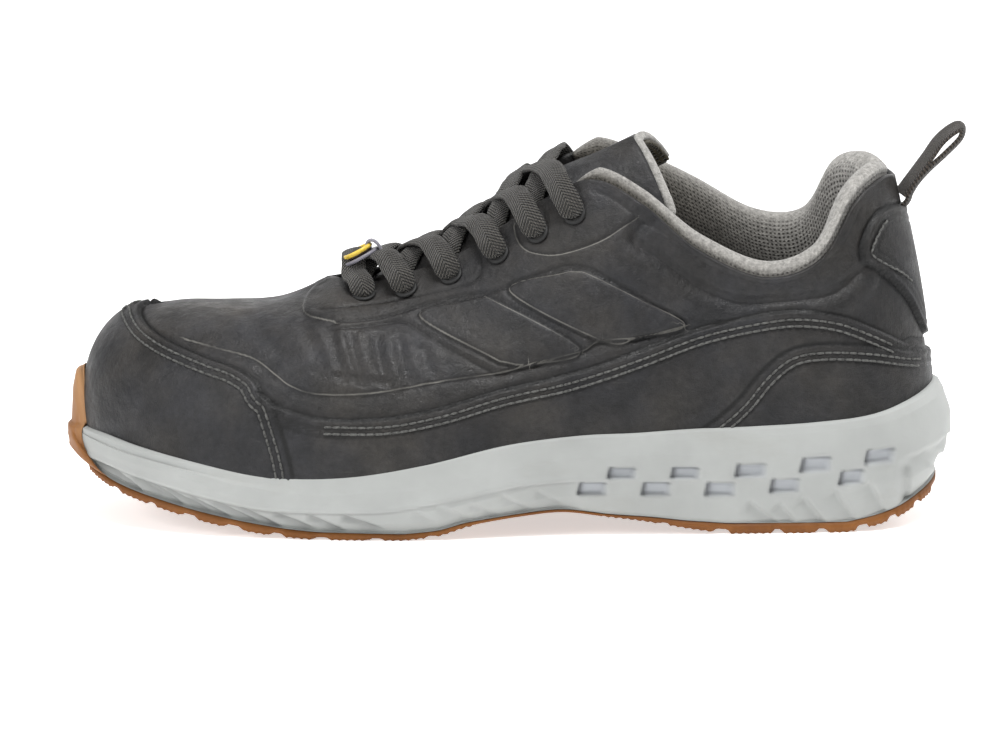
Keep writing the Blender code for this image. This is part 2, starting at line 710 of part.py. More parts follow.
# Padded collar: its section, as (share of the upper's section, distance in from the leather, rise
# above the top edge), in shares of COLLAR_PAD
COLLAR_PAD = 0.0085
COLLAR_SECTION = [
    (0.55, 0.0, 0.0), (0.80, 0.0, 0.0), (0.985, 0.0, 0.0), (1.0, 0.05, 0.36), (1.0, 0.38, 0.56), (1.0, 0.75, 0.42),
    (1.0, 1.0, 0.0), (0.80, 1.0, 0.0), (0.66, 0.75, 0.0), (0.55, 0.25, 0.0),
]
COLLAR_START = 9.62


def make_collar():
    rows = span(COLLAR_START, ROUND - COLLAR_START, 33)
    rings = []
    for share, inward, rise in COLLAR_SECTION:
        ring = []
        for row in rows:
            ends = min(row - COLLAR_START, ROUND - COLLAR_START - row)
            full = 0.12 + 0.88 * min(ends / 2.8, 1.0)
            depth = WALL + 2 * FIT_GAP + COLLAR_PAD * inward * full
            point = skin(row, share, -depth)
            point[2] += COLLAR_PAD * rise * min(0.3 + 1.4 * ends, 1.0)
            ring.append(point)
        rings.append(ring)
    return solid("collar_lining", rings, "grey_mesh", closed=False, wrapped=True)


# The tongue's middle line and its arch: x, z in shares of the sole's length and instep height,
# half width and how far the sides drop in shares of half the ball width, how far the sides lean
# back towards the heel, and how far it is twisted up on the inner side
Tongue = namedtuple("Tongue", "x z half drop back twist")
TONGUE = [
    Tongue(0.268, 0.600, 0.32, 0.11, 0.00, 0.00),
    Tongue(0.318, 0.655, 0.33, 0.14, 0.00, 0.00),
    Tongue(0.360, 0.722, 0.33, 0.22, 0.00, 0.00),
    Tongue(0.410, 0.795, 0.35, 0.32, 0.00, 0.00),
    Tongue(0.467, 0.870, 0.36, 0.35, 0.00, 0.00),
    Tongue(0.512, 0.950, 0.37, 0.32, 0.01, 0.00),
    Tongue(0.551, 1.018, 0.35, 0.28, 0.03, 0.02),
    Tongue(0.600, 1.072, 0.32, 0.29, 0.10, 0.07),
    Tongue(0.644, 1.124, 0.33, 0.31, 0.215, 0.135),
]
TONGUE_THICKNESS = 0.0032


def tongue_point(place, across):
    """Point on the tongue's upper face: place 0 to 1 up its length, across -1 to 1."""
    position = place * (len(TONGUE) - 1)

    def value(name):
        return hermite([(i, getattr(t, name)) for i, t in enumerate(TONGUE)], position)

    side = abs(across)
    x = SOLE_LENGTH * value("x") + HALF_BALL * value("back") * side**1.4
    y = HALF_BALL * value("half") * across
    z = INSTEP_HEIGHT * value("z") - HALF_BALL * (value("drop") * side**2.1 - value("twist") * across)
    return np.array([x, y, z])


def tongue_skin(place, across, distance):
    step = 0.01
    low, high = max(place - step, 0.0), min(place + step, 1.0)
    run = tongue_point(high, across) - tongue_point(low, across)
    side = tongue_point(place, across + step) - tongue_point(place, across - step)
    normal = np.cross(run, side)
    normal /= np.linalg.norm(normal)
    return tongue_point(place, across) + distance * normal


def make_tongue():
    places = span(0.0, 1.0, 13)
    shares = span(-1.0, 1.0, 11)
    outer = [[tongue_skin(p, a, 0.0) for p in places] for a in shares]
    inner = [[tongue_skin(p, a, -TONGUE_THICKNESS) for p in places] for a in shares[::-1]]
    return solid("tongue", outer + inner, "black_leather", closed=False, wrapped=True)


# Eyelets up the lacing, as (row, share) places; the inner side is the same
EYELETS = [(6.62, 0.880), (7.28, 0.905), (7.79, 0.905), (8.36, 0.895), (8.86, 0.880), (9.46, 0.885)]
LACE_WIDTH = 0.0082
LACE_THICKNESS = 0.0012
LACE_LIFT = 0.0020
EYELET_LIFT = 0.0014
EDGE_LIFT = 0.0026


def tongue_top(x, y):
    """Point and normal of the tongue's upper face above a plan point."""
    low, high = 0.0, 1.0
    for _ in range(20):
        place = (low + high) / 2
        half = tongue_point(place, 1.0)[1]
        across = max(min(y / half, 1.0), -1.0)
        if tongue_point(place, across)[0] < x:
            low = place
        else:
            high = place
    point = tongue_point(place, across)
    return point, tongue_skin(place, across, 1.0) - point


def lace_line(first, last, lift):
    """Centre points and normals of a lace from one eyelet, over the tongue, to another."""
    line = []
    for (row, share), order in ((first, 1), (last, -1)):
        leg = []
        for s in (share, 0.995):
            leg.append((skin(row, s, EYELET_LIFT + lift), upper_normal(row, s)))
        line.append(leg)
    ends = [line[0][-1][0], line[1][-1][0]]
    middle = []
    for s in (0.18, 0.4, 0.6, 0.82):
        x, y = ends[0][:2] + s * (ends[1][:2] - ends[0][:2])
        point, normal = tongue_top(x, y)
        straight = ends[0][2] + s * (ends[1][2] - ends[0][2])
        point = np.array([x, y, max(point[2] + 1.15 * lift, straight + EDGE_LIFT)])
        middle.append((point, normal))
    return line[0] + middle + line[1][::-1]


def make_lace(name, first, last, lift):
    line = lace_line(first, last, lift)
    rings = [[], [], [], []]
    for i, (point, normal) in enumerate(line):
        before, after = line[max(i - 1, 0)][0], line[min(i + 1, len(line) - 1)][0]
        run = after - before
        side = np.cross(normal, run)
        side /= np.linalg.norm(side)
        up = np.cross(run, side)
        up /= np.linalg.norm(up)
        width = LACE_WIDTH * (0.72 if i in (0, len(line) - 1) else 1.0) / 2
        thick = LACE_THICKNESS / 2
        for ring, (a, b) in zip(rings, ((-1, -1), (1, -1), (1, 1), (-1, 1))):
            ring.append(tuple(point + a * width * side + b * thick * up))
    return solid(name, rings, "black_cord", closed=False, wrapped=True)


def make_laces():
    """The lowest bar and the crossings, joined into one lace."""
    pairs = [(EYELETS[0], (-EYELETS[0][0], EYELETS[0][1]))]
    for low, high in zip(EYELETS, EYELETS[1:]):
        pairs.append((low, (-high[0], high[1])))
        pairs.append((high, (-low[0], low[1])))
    pieces = []
    for i, (first, last) in enumerate(pairs):
        pieces.append(make_lace("laces" if i == 0 else f"lace_run_{i}", first, last, LACE_LIFT + 0.00023 * (i % 3)))
    for piece in pieces[1:]:
        PARTS.objects.unlink(piece)
        CUTTERS.objects.link(piece)
        piece.hide_render = True
        piece.display_type = "WIRE"
        cut(pieces[0], piece, "UNION")


TAG_LENGTH = 0.0135
TAG_WIDTH = 0.0110
TAG_PROFILE = [(0.0, 0.0), (0.92, 0.0), (1.0, 0.15), (1.0, 0.70), (0.88, 1.0), (0.74, 1.0), (0.66, 0.72), (0.0, 0.72)]
TAG_THICKNESS = 0.0019
TAG_SLOPE = math.radians(28)
TAG_FORWARD = 0.0030
TAG_ASIDE = 0.0040
TAG_LIFT = 0.0014


def make_lace_tag():
    bar = lace_line(EYELETS[0], (-EYELETS[0][0], EYELETS[0][1]), LACE_LIFT)
    middle = bar[len(bar) // 2 - 1][0] / 2 + bar[len(bar) // 2][0] / 2
    normal = np.array([-math.sin(TAG_SLOPE), 0.0, math.cos(TAG_SLOPE)])
    side = np.array([0.0, 1.0, 0.0])
    run = np.cross(side, normal)
    base = middle + run * TAG_FORWARD - side * TAG_ASIDE + normal * TAG_LIFT
    rings = []
    for radius, height in TAG_PROFILE:
        ring = []
        for angle in np.linspace(0, 2 * math.pi, 17)[:-1]:
            flat = run * math.cos(angle) * TAG_WIDTH / 2 + side * math.sin(angle) * TAG_LENGTH / 2
            ring.append(tuple(base + radius * flat + height * TAG_THICKNESS * normal))
        rings.append(ring)
    return solid("lace_tag", rings, "tag_plastic")


# Webbing loop behind the heel: its line from the top seam out and back, as x past the heel's
# back edge and height, in shares of LOOP_LENGTH
LOOP_LENGTH = 0.032
LOOP_WIDTH = 0.0105
LOOP_THICKNESS = 0.0015
LOOP_LINE = [
    (0.026, -0.035), (0.172, 0.165), (0.318, 0.366), (0.422, 0.519), (0.534, 0.625), (0.640, 0.686), (0.682, 0.660),
    (0.656, 0.555), (0.506, 0.397), (0.334, 0.234), (0.214, 0.100), (0.134, -0.031), (0.106, -0.110),
]


def make_pull_loop():
    start = skin(LAST_ROW, 0.93, 0.0)
    line = [Vector((start[0] + LOOP_LENGTH * a, start[2] + LOOP_LENGTH * b)) for a, b in LOOP_LINE]
    rings = [[], [], [], []]
    for i, point in enumerate(line):
        run = line[min(i + 1, len(line) - 1)] - line[max(i - 1, 0)]
        normal = Vector((-run.y, run.x)).normalized() * LOOP_THICKNESS / 2
        for ring, (a, b) in zip(rings, ((1, -1), (1, 1), (-1, 1), (-1, -1))):
            ring.append((point.x + a * normal.x, b * LOOP_WIDTH / 2, point.y + a * normal.y))
    return solid("pull_loop", rings, "black_cord", closed=False, wrapped=True)


def new_collection(name):
    made = bpy.data.collections.new(name)
    bpy.context.scene.collection.children.link(made)
    return made


for old in list(bpy.data.objects):
    bpy.data.objects.remove(old)
PARTS = new_collection("safety_sneaker")
CUTTERS = new_collection("cutters")

midsole = make_midsole()
cut(midsole, make_block_cutter())
make_outsole()
make_toe_guard()
make_upper()
make_insole()
make_toe_cap()
make_rand("outer_rand", 1)
make_rand("inner_rand", -1)
make_counter()
make_heel_tab()
make_collar()
make_tongue()
make_laces()
make_lace_tag()
make_pull_loop()

# Stand the shoe so that the middle of its footprint is the origin
bpy.context.view_layer.update()
corners = [part.matrix_world @ Vector(c) for part in PARTS.objects for c in part.bound_box]
lowest = Vector([min(c[i] for c in corners) for i in range(3)])
highest = Vector([max(c[i] for c in corners) for i in range(3)])
stand = bpy.data.objects.new("safety_sneaker_frame", None)
PARTS.objects.link(stand)
for part in list(PARTS.objects) + list(CUTTERS.objects):
    if part != stand:
        part.parent = stand
stand.location = (-(lowest.x + highest.x) / 2, -(lowest.y + highest.y) / 2, -lowest.z)
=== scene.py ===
"""Looks of the safety sneaker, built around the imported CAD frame.

Places are drawn in the shoe's own coordinates, x from the toe (0) to the heel in metres, and then
moved with SHIFT to where the frame stands. A place on the upper is a row number and a share, as in
the CAD: 0 is the toe, LAST_ROW the heel, later rows the inner side; the share runs from the foot
of the upper (0) to its top edge or ridge (1).
"""

import math
from collections import namedtuple

import bmesh
import bpy
import numpy as np
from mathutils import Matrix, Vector


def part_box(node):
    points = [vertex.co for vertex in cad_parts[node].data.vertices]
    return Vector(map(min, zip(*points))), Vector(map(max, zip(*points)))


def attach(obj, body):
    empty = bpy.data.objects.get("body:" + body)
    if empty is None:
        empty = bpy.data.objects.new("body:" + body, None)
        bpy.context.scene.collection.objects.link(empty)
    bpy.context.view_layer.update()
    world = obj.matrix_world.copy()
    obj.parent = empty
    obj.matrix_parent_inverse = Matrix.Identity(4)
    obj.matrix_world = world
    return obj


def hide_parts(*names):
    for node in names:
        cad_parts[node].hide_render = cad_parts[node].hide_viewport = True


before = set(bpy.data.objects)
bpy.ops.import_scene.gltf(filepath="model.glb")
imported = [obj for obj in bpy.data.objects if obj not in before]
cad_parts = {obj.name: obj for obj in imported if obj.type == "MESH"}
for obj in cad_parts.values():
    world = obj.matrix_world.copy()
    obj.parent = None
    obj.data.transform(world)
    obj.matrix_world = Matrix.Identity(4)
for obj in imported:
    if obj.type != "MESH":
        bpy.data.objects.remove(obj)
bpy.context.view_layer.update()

# Driving sizes, in metres
SOLE_LENGTH = 0.305
BALL_WIDTH = 0.111
TOE_HEIGHT = 0.0740
INSTEP_HEIGHT = 0.1165
HEEL_HEIGHT = 0.1160
RIM_HEIGHT = 0.048
FOOTBED_HEIGHT = 0.0270
TOE_SPRING = 0.0240
ARCH_RISE = 0.0083

# Thickness of the leather, and the room left between neighbouring pieces
WALL = 0.0022
FIT_GAP = 0.0003

Section = namedtuple(
    "Section",
    "x outer inner rim inset top_x top_outer top_inner follows height_outer height_inner "
    "lean low high tilt",
)

# One row for each section of the shoe, from the toe to the heel.
# x, top_x: shares of the sole's length. outer, inner, top_outer, top_inner: how far out the sole's
# edge and the upper's top edge lie, in shares of half the ball width. rim: height of the midsole's
# rim, a share of RIM_HEIGHT. inset: from the sole's edge in to the upper, in millimetres.
# follows: the named height that the top edge is a share of. lean: how far the wall leans out at its
# foot, degrees. low, high: length of the section's lower and upper curve handles, shares of its
# chord. tilt: slope of the wall at its top edge, degrees below level.
SECTIONS = [
    Section(0.000, -0.16, 0.16, 0.65, 6.4, 0.104, -0.08, 0.08, "toe", 0.978, 0.978, 7, 0.61, 0.27, 0),
    Section(0.013, 0.16, 0.45, 0.65, 6.2, 0.110, -0.08, 0.08, "toe", 0.980, 0.980, 7, 0.60, 0.28, 0),
    Section(0.043, 0.41, 0.67, 0.64, 5.8, 0.123, -0.07, 0.07, "toe", 0.985, 0.985, 7, 0.59, 0.31, 0),
    Section(0.089, 0.65, 0.81, 0.59, 5.3, 0.147, -0.06, 0.06, "toe", 0.995, 0.995, 7, 0.58, 0.35, 0),
    Section(0.154, 0.84, 0.90, 0.52, 4.7, 0.188, -0.04, 0.04, "toe", 0.996, 0.996, 7, 0.56, 0.38, 0),
    Section(0.236, 0.955, 0.955, 0.45, 3.8, 0.242, -0.02, 0.02, "toe", 1.012, 1.012, 7, 0.54, 0.38, 0),
    Section(0.321, 1.02, 0.97, 0.46, 3.8, 0.298, 0.0, 0.0, "instep", 0.706, 0.706, 7, 0.52, 0.36, 4),
    Section(0.410, 1.03, 0.93, 0.545, 4.0, 0.352, 0.22, 0.22, "instep", 0.703, 0.722, 6, 0.48, 0.34, 22),
    Section(0.498, 0.97, 0.82, 0.665, 4.3, 0.446, 0.27, 0.27, "instep", 0.790, 0.808, 5, 0.45, 0.33, 32),
    Section(0.575, 0.89, 0.73, 0.712, 4.8, 0.530, 0.32, 0.32, "instep", 0.935, 1.004, 3, 0.42, 0.32, 38),
    Section(0.640, 0.835, 0.69, 0.72, 5.2, 0.590, 0.40, 0.40, "instep", 1.007, 1.064, 2, 0.40, 0.31, 52),
    Section(0.700, 0.80, 0.69, 0.74, 5.6, 0.645, 0.50, 0.50, "instep", 0.940, 1.012, 2, 0.38, 0.30, 68),
    Section(0.770, 0.775, 0.71, 0.755, 6.0, 0.706, 0.57, 0.57, "heel", 0.813, 0.942, 2, 0.36, 0.30, 80),
    Section(0.840, 0.755, 0.73, 0.78, 6.4, 0.780, 0.61, 0.61, "heel", 0.733, 0.842, 2, 0.35, 0.30, 85),
    Section(0.902, 0.70, 0.69, 0.82, 6.8, 0.842, 0.57, 0.57, "heel", 0.785, 0.848, 2, 0.35, 0.30, 84),
    Section(0.950, 0.565, 0.565, 0.89, 8.0, 0.882, 0.45, 0.45, "heel", 0.945, 0.998, 3, 0.35, 0.30, 82),
    Section(0.987, 0.32, 0.32, 0.965, 8.9, 0.915, 0.25, 0.25, "heel", 1.010, 1.032, 4, 0.35, 0.30, 79),
    Section(1.000, 0.0, 0.0, 1.00, 9.1, 0.932, 0.0, 0.0, "heel", 1.010, 1.010, 5, 0.35, 0.28, 77),
]
LAST_ROW = len(SECTIONS) - 1
ROUND = 2 * LAST_ROW
VAMP_POINT = 6

# Side profiles: share of the sole's length, and height as a share of the size named beside it
TREAD = [
    (0.000, 1.00), (0.013, 0.85), (0.028, 0.71), (0.043, 0.61), (0.066, 0.51), (0.118, 0.335),
    (0.174, 0.175), (0.220, 0.075), (0.262, 0.018), (0.295, 0.0), (0.385, 0.0),
]
ARCH = [
    (0.385, 0.0), (0.420, 0.15), (0.456, 0.53), (0.511, 0.87), (0.554, 1.0), (0.607, 0.76), (0.643, 0.58),
    (0.711, 0.15), (0.748, 0.0), (0.872, 0.0),
]
HEEL_LIFT = [(0.872, 0.0), (0.905, 0.08), (0.931, 0.17), (0.951, 0.28), (0.974, 0.43), (1.0, 0.62)]
FLOOR = [
    (0.000, 1.03), (0.020, 1.00), (0.043, 0.90), (0.089, 0.75), (0.154, 0.59), (0.236, 0.475),
    (0.321, 0.445), (0.410, 0.49), (0.498, 0.60), (0.590, 0.73), (0.682, 0.84), (0.770, 0.915),
    (0.852, 0.95), (1.000, 1.00),
]


def round_values(outer, inner=None, sign=1):
    """One value for each row round the shoe, from the columns of its outer and inner side."""
    there = [getattr(s, outer) for s in SECTIONS]
    back = [sign * getattr(s, inner or outer) for s in SECTIONS[-2:0:-1]]
    return np.array(there + back)


HALF_BALL = BALL_WIDTH / 2
TOP_SIZES = {"toe": TOE_HEIGHT, "instep": INSTEP_HEIGHT, "heel": HEEL_HEIGHT}
ROUND_X = SOLE_LENGTH * round_values("x")
ROUND_Y = -HALF_BALL * round_values("outer", "inner", -1)
ROUND_RIM = RIM_HEIGHT * round_values("rim")
ROUND_INSET = 0.001 * round_values("inset")
TOP_X = SOLE_LENGTH * round_values("top_x")
TOP_Y = -HALF_BALL * round_values("top_outer", "top_inner", -1)
TOP_FOLLOWS = [TOP_SIZES[s.follows] for s in SECTIONS]
TOP_Z = np.array(TOP_FOLLOWS + TOP_FOLLOWS[-2:0:-1]) * round_values("height_outer", "height_inner")
LEAN, LOW, HIGH, TILT = (round_values(name) for name in ("lean", "low", "high", "tilt"))
VAMP_CORNERS = (VAMP_POINT, ROUND - VAMP_POINT)
SPINE_ENDS = (3.0, 15.0)

# The sole's edge, by share of its length. Rim: how far its top edge is set in from the widest
# line, a share of EDGE_INSET. Foot: how far its lower edge is set in. Crease: height of the
# line between the smooth band and the stepped lower side, a share of RIM_HEIGHT.
EDGE_INSET = 0.006
RIM_INSET = [(0.0, 0.02), (0.05, 0.12), (0.15, 0.22), (0.5, 0.30), (0.8, 0.45), (0.93, 0.58), (1.0, 0.78)]
FOOT_INSET = [(0.0, 0.16), (0.05, 0.24), (0.2, 0.55), (0.5, 0.68), (0.75, 0.38), (0.9, 0.45), (1.0, 0.85)]
CREASE = [
    (0.0, 0.565), (0.06, 0.50), (0.13, 0.43), (0.20, 0.30), (0.30, 0.195), (0.40, 0.215), (0.49, 0.31),
    (0.56, 0.40), (0.62, 0.405), (0.80, 0.375), (0.93, 0.36), (0.975, 0.41), (1.0, 0.55),
]
# Gum rubber under the midsole, tread included, as a share of GUM_THICKNESS
GUM_THICKNESS = 0.0042
GUM = [
    (0.0, 0.55), (0.06, 0.75), (0.2, 0.90), (0.3, 0.76), (0.42, 0.62), (0.50, 0.40), (0.60, 0.40),
    (0.68, 0.70), (0.75, 1.0), (1.0, 1.0),
]
# Depth let into the midsole for the toe guard, the row where it ends, and over how many it fades
GUARD_ROOM, GUARD_ROOM_END, GUARD_ROOM_FADE = 0.0024, 2.7, 1.6


class Curve:
    """A smooth curve, without overshoot, through a short table of (place, value) rows."""

    def __init__(self, points):
        self.xs = np.array([p[0] for p in points], float)
        self.ys = np.array([p[1] for p in points], float)
        grades = np.diff(self.ys) / np.diff(self.xs)
        self.slopes = np.concatenate(([grades[0]], np.zeros(len(self.xs) - 2), [grades[-1]]))
        for k in range(1, len(self.xs) - 1):
            if grades[k - 1] * grades[k] > 0:
                self.slopes[k] = 2 / (1 / grades[k - 1] + 1 / grades[k])

    def __call__(self, x):
        x = np.asarray(x, float)
        i = np.clip(np.searchsorted(self.xs, x) - 1, 0, len(self.xs) - 2)
        step = self.xs[i + 1] - self.xs[i]
        s = np.clip((x - self.xs[i]) / step, 0, 1)
        rise = self.ys[i + 1] - self.ys[i]
        bend = (1 - s) * (self.slopes[i] * step - rise) - s * (self.slopes[i + 1] * step - rise)
        return self.ys[i] + s * rise + s * (1 - s) * bend


TREAD_CURVE, ARCH_CURVE, LIFT_CURVE = Curve(TREAD), Curve(ARCH), Curve(HEEL_LIFT)
FLOOR_CURVE, GUM_CURVE = Curve(FLOOR), Curve(GUM)
RIM_CURVE, FOOT_CURVE, CREASE_CURVE = Curve(RIM_INSET), Curve(FOOT_INSET), Curve(CREASE)


def tread_height(x):
    share = np.asarray(x) / SOLE_LENGTH
    low = np.where(share < ARCH[-1][0], ARCH_RISE * ARCH_CURVE(share), TOE_SPRING * LIFT_CURVE(share))
    return np.where(share < TREAD[-1][0], TOE_SPRING * TREAD_CURVE(share), low)


def floor_height(x):
    return FOOTBED_HEIGHT * FLOOR_CURVE(np.asarray(x) / SOLE_LENGTH)


def sole_bottom(x):
    return tread_height(x) + GUM_THICKNESS * GUM_CURVE(np.asarray(x) / SOLE_LENGTH)


# Small steps for taking slopes, by row and by share, and the shares where the vamp's ridge starts
ROW_STEP, SHARE_STEP = 0.02, 0.01
RIDGE_START, RIDGE_LIMIT = 0.98, 0.985
# Halvings of a search for a place
HALVINGS = 18


def around(values, row, corners=()):
    """Catmull-Rom value at row numbers round the shoe. A corner row breaks the curve there."""
    row = np.asarray(row, float)
    n = len(values)
    i = np.floor(row).astype(int)
    s = row - i
    before, here, after, beyond = (values[(i + k) % n] for k in (-1, 0, 1, 2))
    for corner in corners:
        before = np.where(i % n == corner, 2 * here - after, before)
        beyond = np.where((i + 1) % n == corner, 2 * after - here, beyond)
    cubic = (2 * before - 5 * here + 4 * after - beyond) * s * s
    return 0.5 * (2 * here + (after - before) * s + cubic + (3 * here - before - 3 * after + beyond) * s**3)


def unit(vectors):
    return vectors / np.maximum(np.linalg.norm(vectors, axis=-1, keepdims=True), 1e-12)


def run_along(points):
    """How far along a path each of its points lies."""
    return np.concatenate([[0.0], np.linalg.norm(np.diff(points, axis=0), axis=1).cumsum()])


def outline(row, inset=0.0):
    """Plan points on the sole's widest outline, moved in by inset."""
    x, y = around(ROUND_X, row), around(ROUND_Y, row)
    dx, dy = (around(v, row + ROW_STEP) - around(v, row - ROW_STEP) for v in (ROUND_X, ROUND_Y))
    size = np.hypot(dx, dy)
    return np.stack([x - inset * dy / size, y + inset * dx / size], -1)


def side_of(row):
    return np.minimum(row % ROUND, -row % ROUND)


def upper_point(row, share):
    """Points on the upper's outer face."""
    row, share = np.broadcast_arrays(np.asarray(row, float), np.asarray(share, float))
    foot_plan = outline(row, around(ROUND_INSET, row))
    foot = np.concatenate([foot_plan, (floor_height(foot_plan[..., 0]) + FIT_GAP)[..., None]], -1)
    top = np.stack([around(v, row, VAMP_CORNERS) for v in (TOP_X, TOP_Y, TOP_Z)], -1)
    chord = np.linalg.norm(top - foot, axis=-1)[..., None]
    out = outline(row, 0.0) - outline(row, 0.001)
    out = unit(np.concatenate([out, np.zeros(out.shape[:-1] + (1,))], -1))
    away = foot - top
    away[..., 2] = 0.0
    away = unit(away)
    lean = np.radians(around(LEAN, row))[..., None]
    tilt = np.radians(around(TILT, row, VAMP_CORNERS))[..., None]
    up = np.array([0.0, 0.0, 1.0])
    low = foot + around(LOW, row)[..., None] * chord * (np.cos(lean) * up + np.sin(lean) * out)
    high = top + around(HIGH, row)[..., None] * chord * (np.cos(tilt) * away - np.sin(tilt) * up)
    b = share[..., None]
    a = 1 - b
    return a**3 * foot + 3 * a * a * b * low + 3 * a * b * b * high + b**3 * top


def upper_normal(row, share):
    """Directions out of the upper's face; along the vamp's ridge they stay in the middle plane."""
    row, share = np.broadcast_arrays(np.asarray(row, float), np.asarray(share, float))
    share = np.where(side_of(row) < VAMP_POINT, np.minimum(share, RIDGE_LIMIT), share)
    low, high = np.maximum(share - SHARE_STEP, 0.0), np.minimum(share + SHARE_STEP, 1.0)
    along = upper_point(row + ROW_STEP, share) - upper_point(row - ROW_STEP, share)
    up = upper_point(row, high) - upper_point(row, low)
    normal = unit(np.cross(along, up))
    ridge = (np.asarray(share) > RIDGE_START) & (side_of(row) <= VAMP_POINT)
    level = normal.copy()
    level[..., 1] = 0.0
    return np.where(ridge[..., None], unit(level), normal)


def skin(row, share, distance):
    """Points at a distance outside (or, below zero, inside) the upper's outer face."""
    return upper_point(row, share) + np.asarray(distance)[..., None] * upper_normal(row, share)


def share_at(row, height):
    """Share at which the upper's section reaches a height, near its foot."""
    low, high = np.zeros(np.shape(row)), np.full(np.shape(row), 0.6)
    for _ in range(HALVINGS):
        middle = (low + high) / 2
        below = upper_point(row, middle)[..., 2] < height
        low = np.where(below, middle, low)
        high = np.where(below, high, middle)
    return low


def spine(row):
    side = np.clip(side_of(np.asarray(row, float)), SPINE_ENDS[0], SPINE_ENDS[1])
    return (outline(side) + outline(-side)) / 2


def guard_room(row):
    s = np.clip((GUARD_ROOM_END - side_of(np.asarray(row, float))) / GUARD_ROOM_FADE, 0.0, 1.0)
    return GUARD_ROOM * s * s * (3 - 2 * s)


def span(start, end, count):
    return np.linspace(start, end, count)


ALL_ROWS = np.arange(0, ROUND, 0.5)
CAD_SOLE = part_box("midsole")
SHIFT = np.array([CAD_SOLE[1][0] - SOLE_LENGTH, CAD_SOLE[0][1] - outline(ALL_ROWS)[:, 1].min(), 0.0])

# The camera: the photograph was taken from the outer side, slightly above, from a little over a
# metre away. One millimetre at the shoe's middle is 2.9 pixels of the 1000 wide picture.
EYE_RISE = math.radians(8)
EYE_DISTANCE = 1.2
PIXELS_PER_METRE = 2900.0
PIXELS_PER_MM = PIXELS_PER_METRE / 1000
PICTURE = (1000, 733)
AIM = np.array([0.1493, 0.0, 0.0509])


def picture_place(points):
    """Where points of the shoe fall in the picture, in pixels."""
    p = points - AIM
    depth = EYE_DISTANCE + p[..., 1] * math.cos(EYE_RISE) - p[..., 2] * math.sin(EYE_RISE)
    up = p[..., 1] * math.sin(EYE_RISE) + p[..., 2] * math.cos(EYE_RISE)
    scale = PIXELS_PER_METRE * EYE_DISTANCE / depth
    return np.stack([PICTURE[0] / 2 + scale * p[..., 0], PICTURE[1] / 2 - scale * up], -1)


# Lines of the upper as the picture shows them on the outer side, in pixels of the 1000 wide
# picture. They are carried onto the upper's surface and mirrored to the inner side.
TOE_CAP_LINE = [
    (160, 296), (157, 301), (144, 306), (140, 314), (149.5, 329), (172, 344), (209, 360), (234, 369),
    (253, 381), (262, 396), (271, 404), (280, 429), (287.5, 454), (294, 484),
]
RAND_LINE = [
    (262, 396), (271, 405), (320, 420), (385, 420), (440, 410), (500, 392), (560, 378), (600, 366),
    (640, 352), (700, 330), (760, 316), (800, 312), (840, 317), (875, 330), (900, 342), (915, 350),
]
COUNTER_LINE = [
    (697, 434), (720, 417), (740, 399), (760, 375), (780, 357), (800, 348), (830, 345), (870, 347),
    (900, 351), (924, 352),
]
TAB_LINE = [
    (917, 338), (918, 322), (916, 308), (910, 295), (895, 280), (870, 265), (862, 255), (865, 240),
    (875, 220), (885, 211), (896, 209), (905, 209),
]
VAMP_LINE = [
    (184, 338.5), (218, 348), (253, 358), (276, 375), (291, 386), (318, 394), (374, 393), (436, 382),
    (500, 372), (530, 364), (582, 351), (600, 341), (640, 337), (685, 326),
]
PANEL_FRONT = [
    (420, 316), (460, 302), (482, 298.5), (492, 300), (580, 350), (530, 364), (505, 362), (490, 356),
]
PANEL_BACK = [(510, 291), (560, 274), (577, 272), (590, 275), (640, 300), (685, 325), (640, 337), (604, 341)]
CHANNEL = [
    (330, 321), (375, 316), (408, 307), (442, 296), (475, 291), (504, 285), (531, 274), (564, 263),
    (591, 265), (620, 281), (680, 316), (690, 324), (640, 341), (600, 346), (582, 355), (530, 369),
    (500, 376), (486, 372), (450, 352), (419, 332), (401, 323), (363, 328), (330, 330),
]
EYELET_PANEL = [(515, 225), (517, 236), (523, 246), (535, 252), (560, 253), (600, 240), (635, 218)]
FACING_LINE = [
    (475, 245), (481, 258), (482, 268), (477, 278), (464, 285), (430, 293), (390, 301), (345, 307),
    (322, 309),
]
VAMP_FLAP = [(322, 282), (312, 288), (305, 298), (303, 308), (310, 316), (335, 321)]
ANKLE_LINE = [
    (648, 221), (640, 227), (636, 235), (638, 244), (660, 258), (686, 278), (709, 292), (739, 302),
    (776, 301), (820, 296), (842, 288), (860, 272),
]
COLLAR_LINE = [
    (590, 190), (611, 198), (634, 215), (652, 226), (674, 239), (699, 259), (724, 272), (750, 281),
    (772, 283.5), (794, 280), (813, 271), (837, 252), (852, 230), (861, 207),
]
# Creases of the vamp where the foot bends, each with its depth in millimetres and half width
CREASES = [
    ([(302, 322), (312, 342), (324, 364)], 0.30, 2.2), ([(330, 330), (335, 350), (344, 376)], 0.40, 1.8),
    ([(350, 336), (354, 356), (362, 382)], 0.38, 1.6), ([(376, 338), (379, 358), (388, 384)], 0.42, 1.8),
    ([(400, 342), (402, 360), (411, 382)], 0.36, 1.7), ([(424, 350), (428, 364), (436, 378)], 0.28, 1.8),
    ([(250, 316), (262, 334), (280, 352)], 0.22, 2.6), ([(316, 372), (352, 380), (390, 383)], 0.25, 1.6),
]


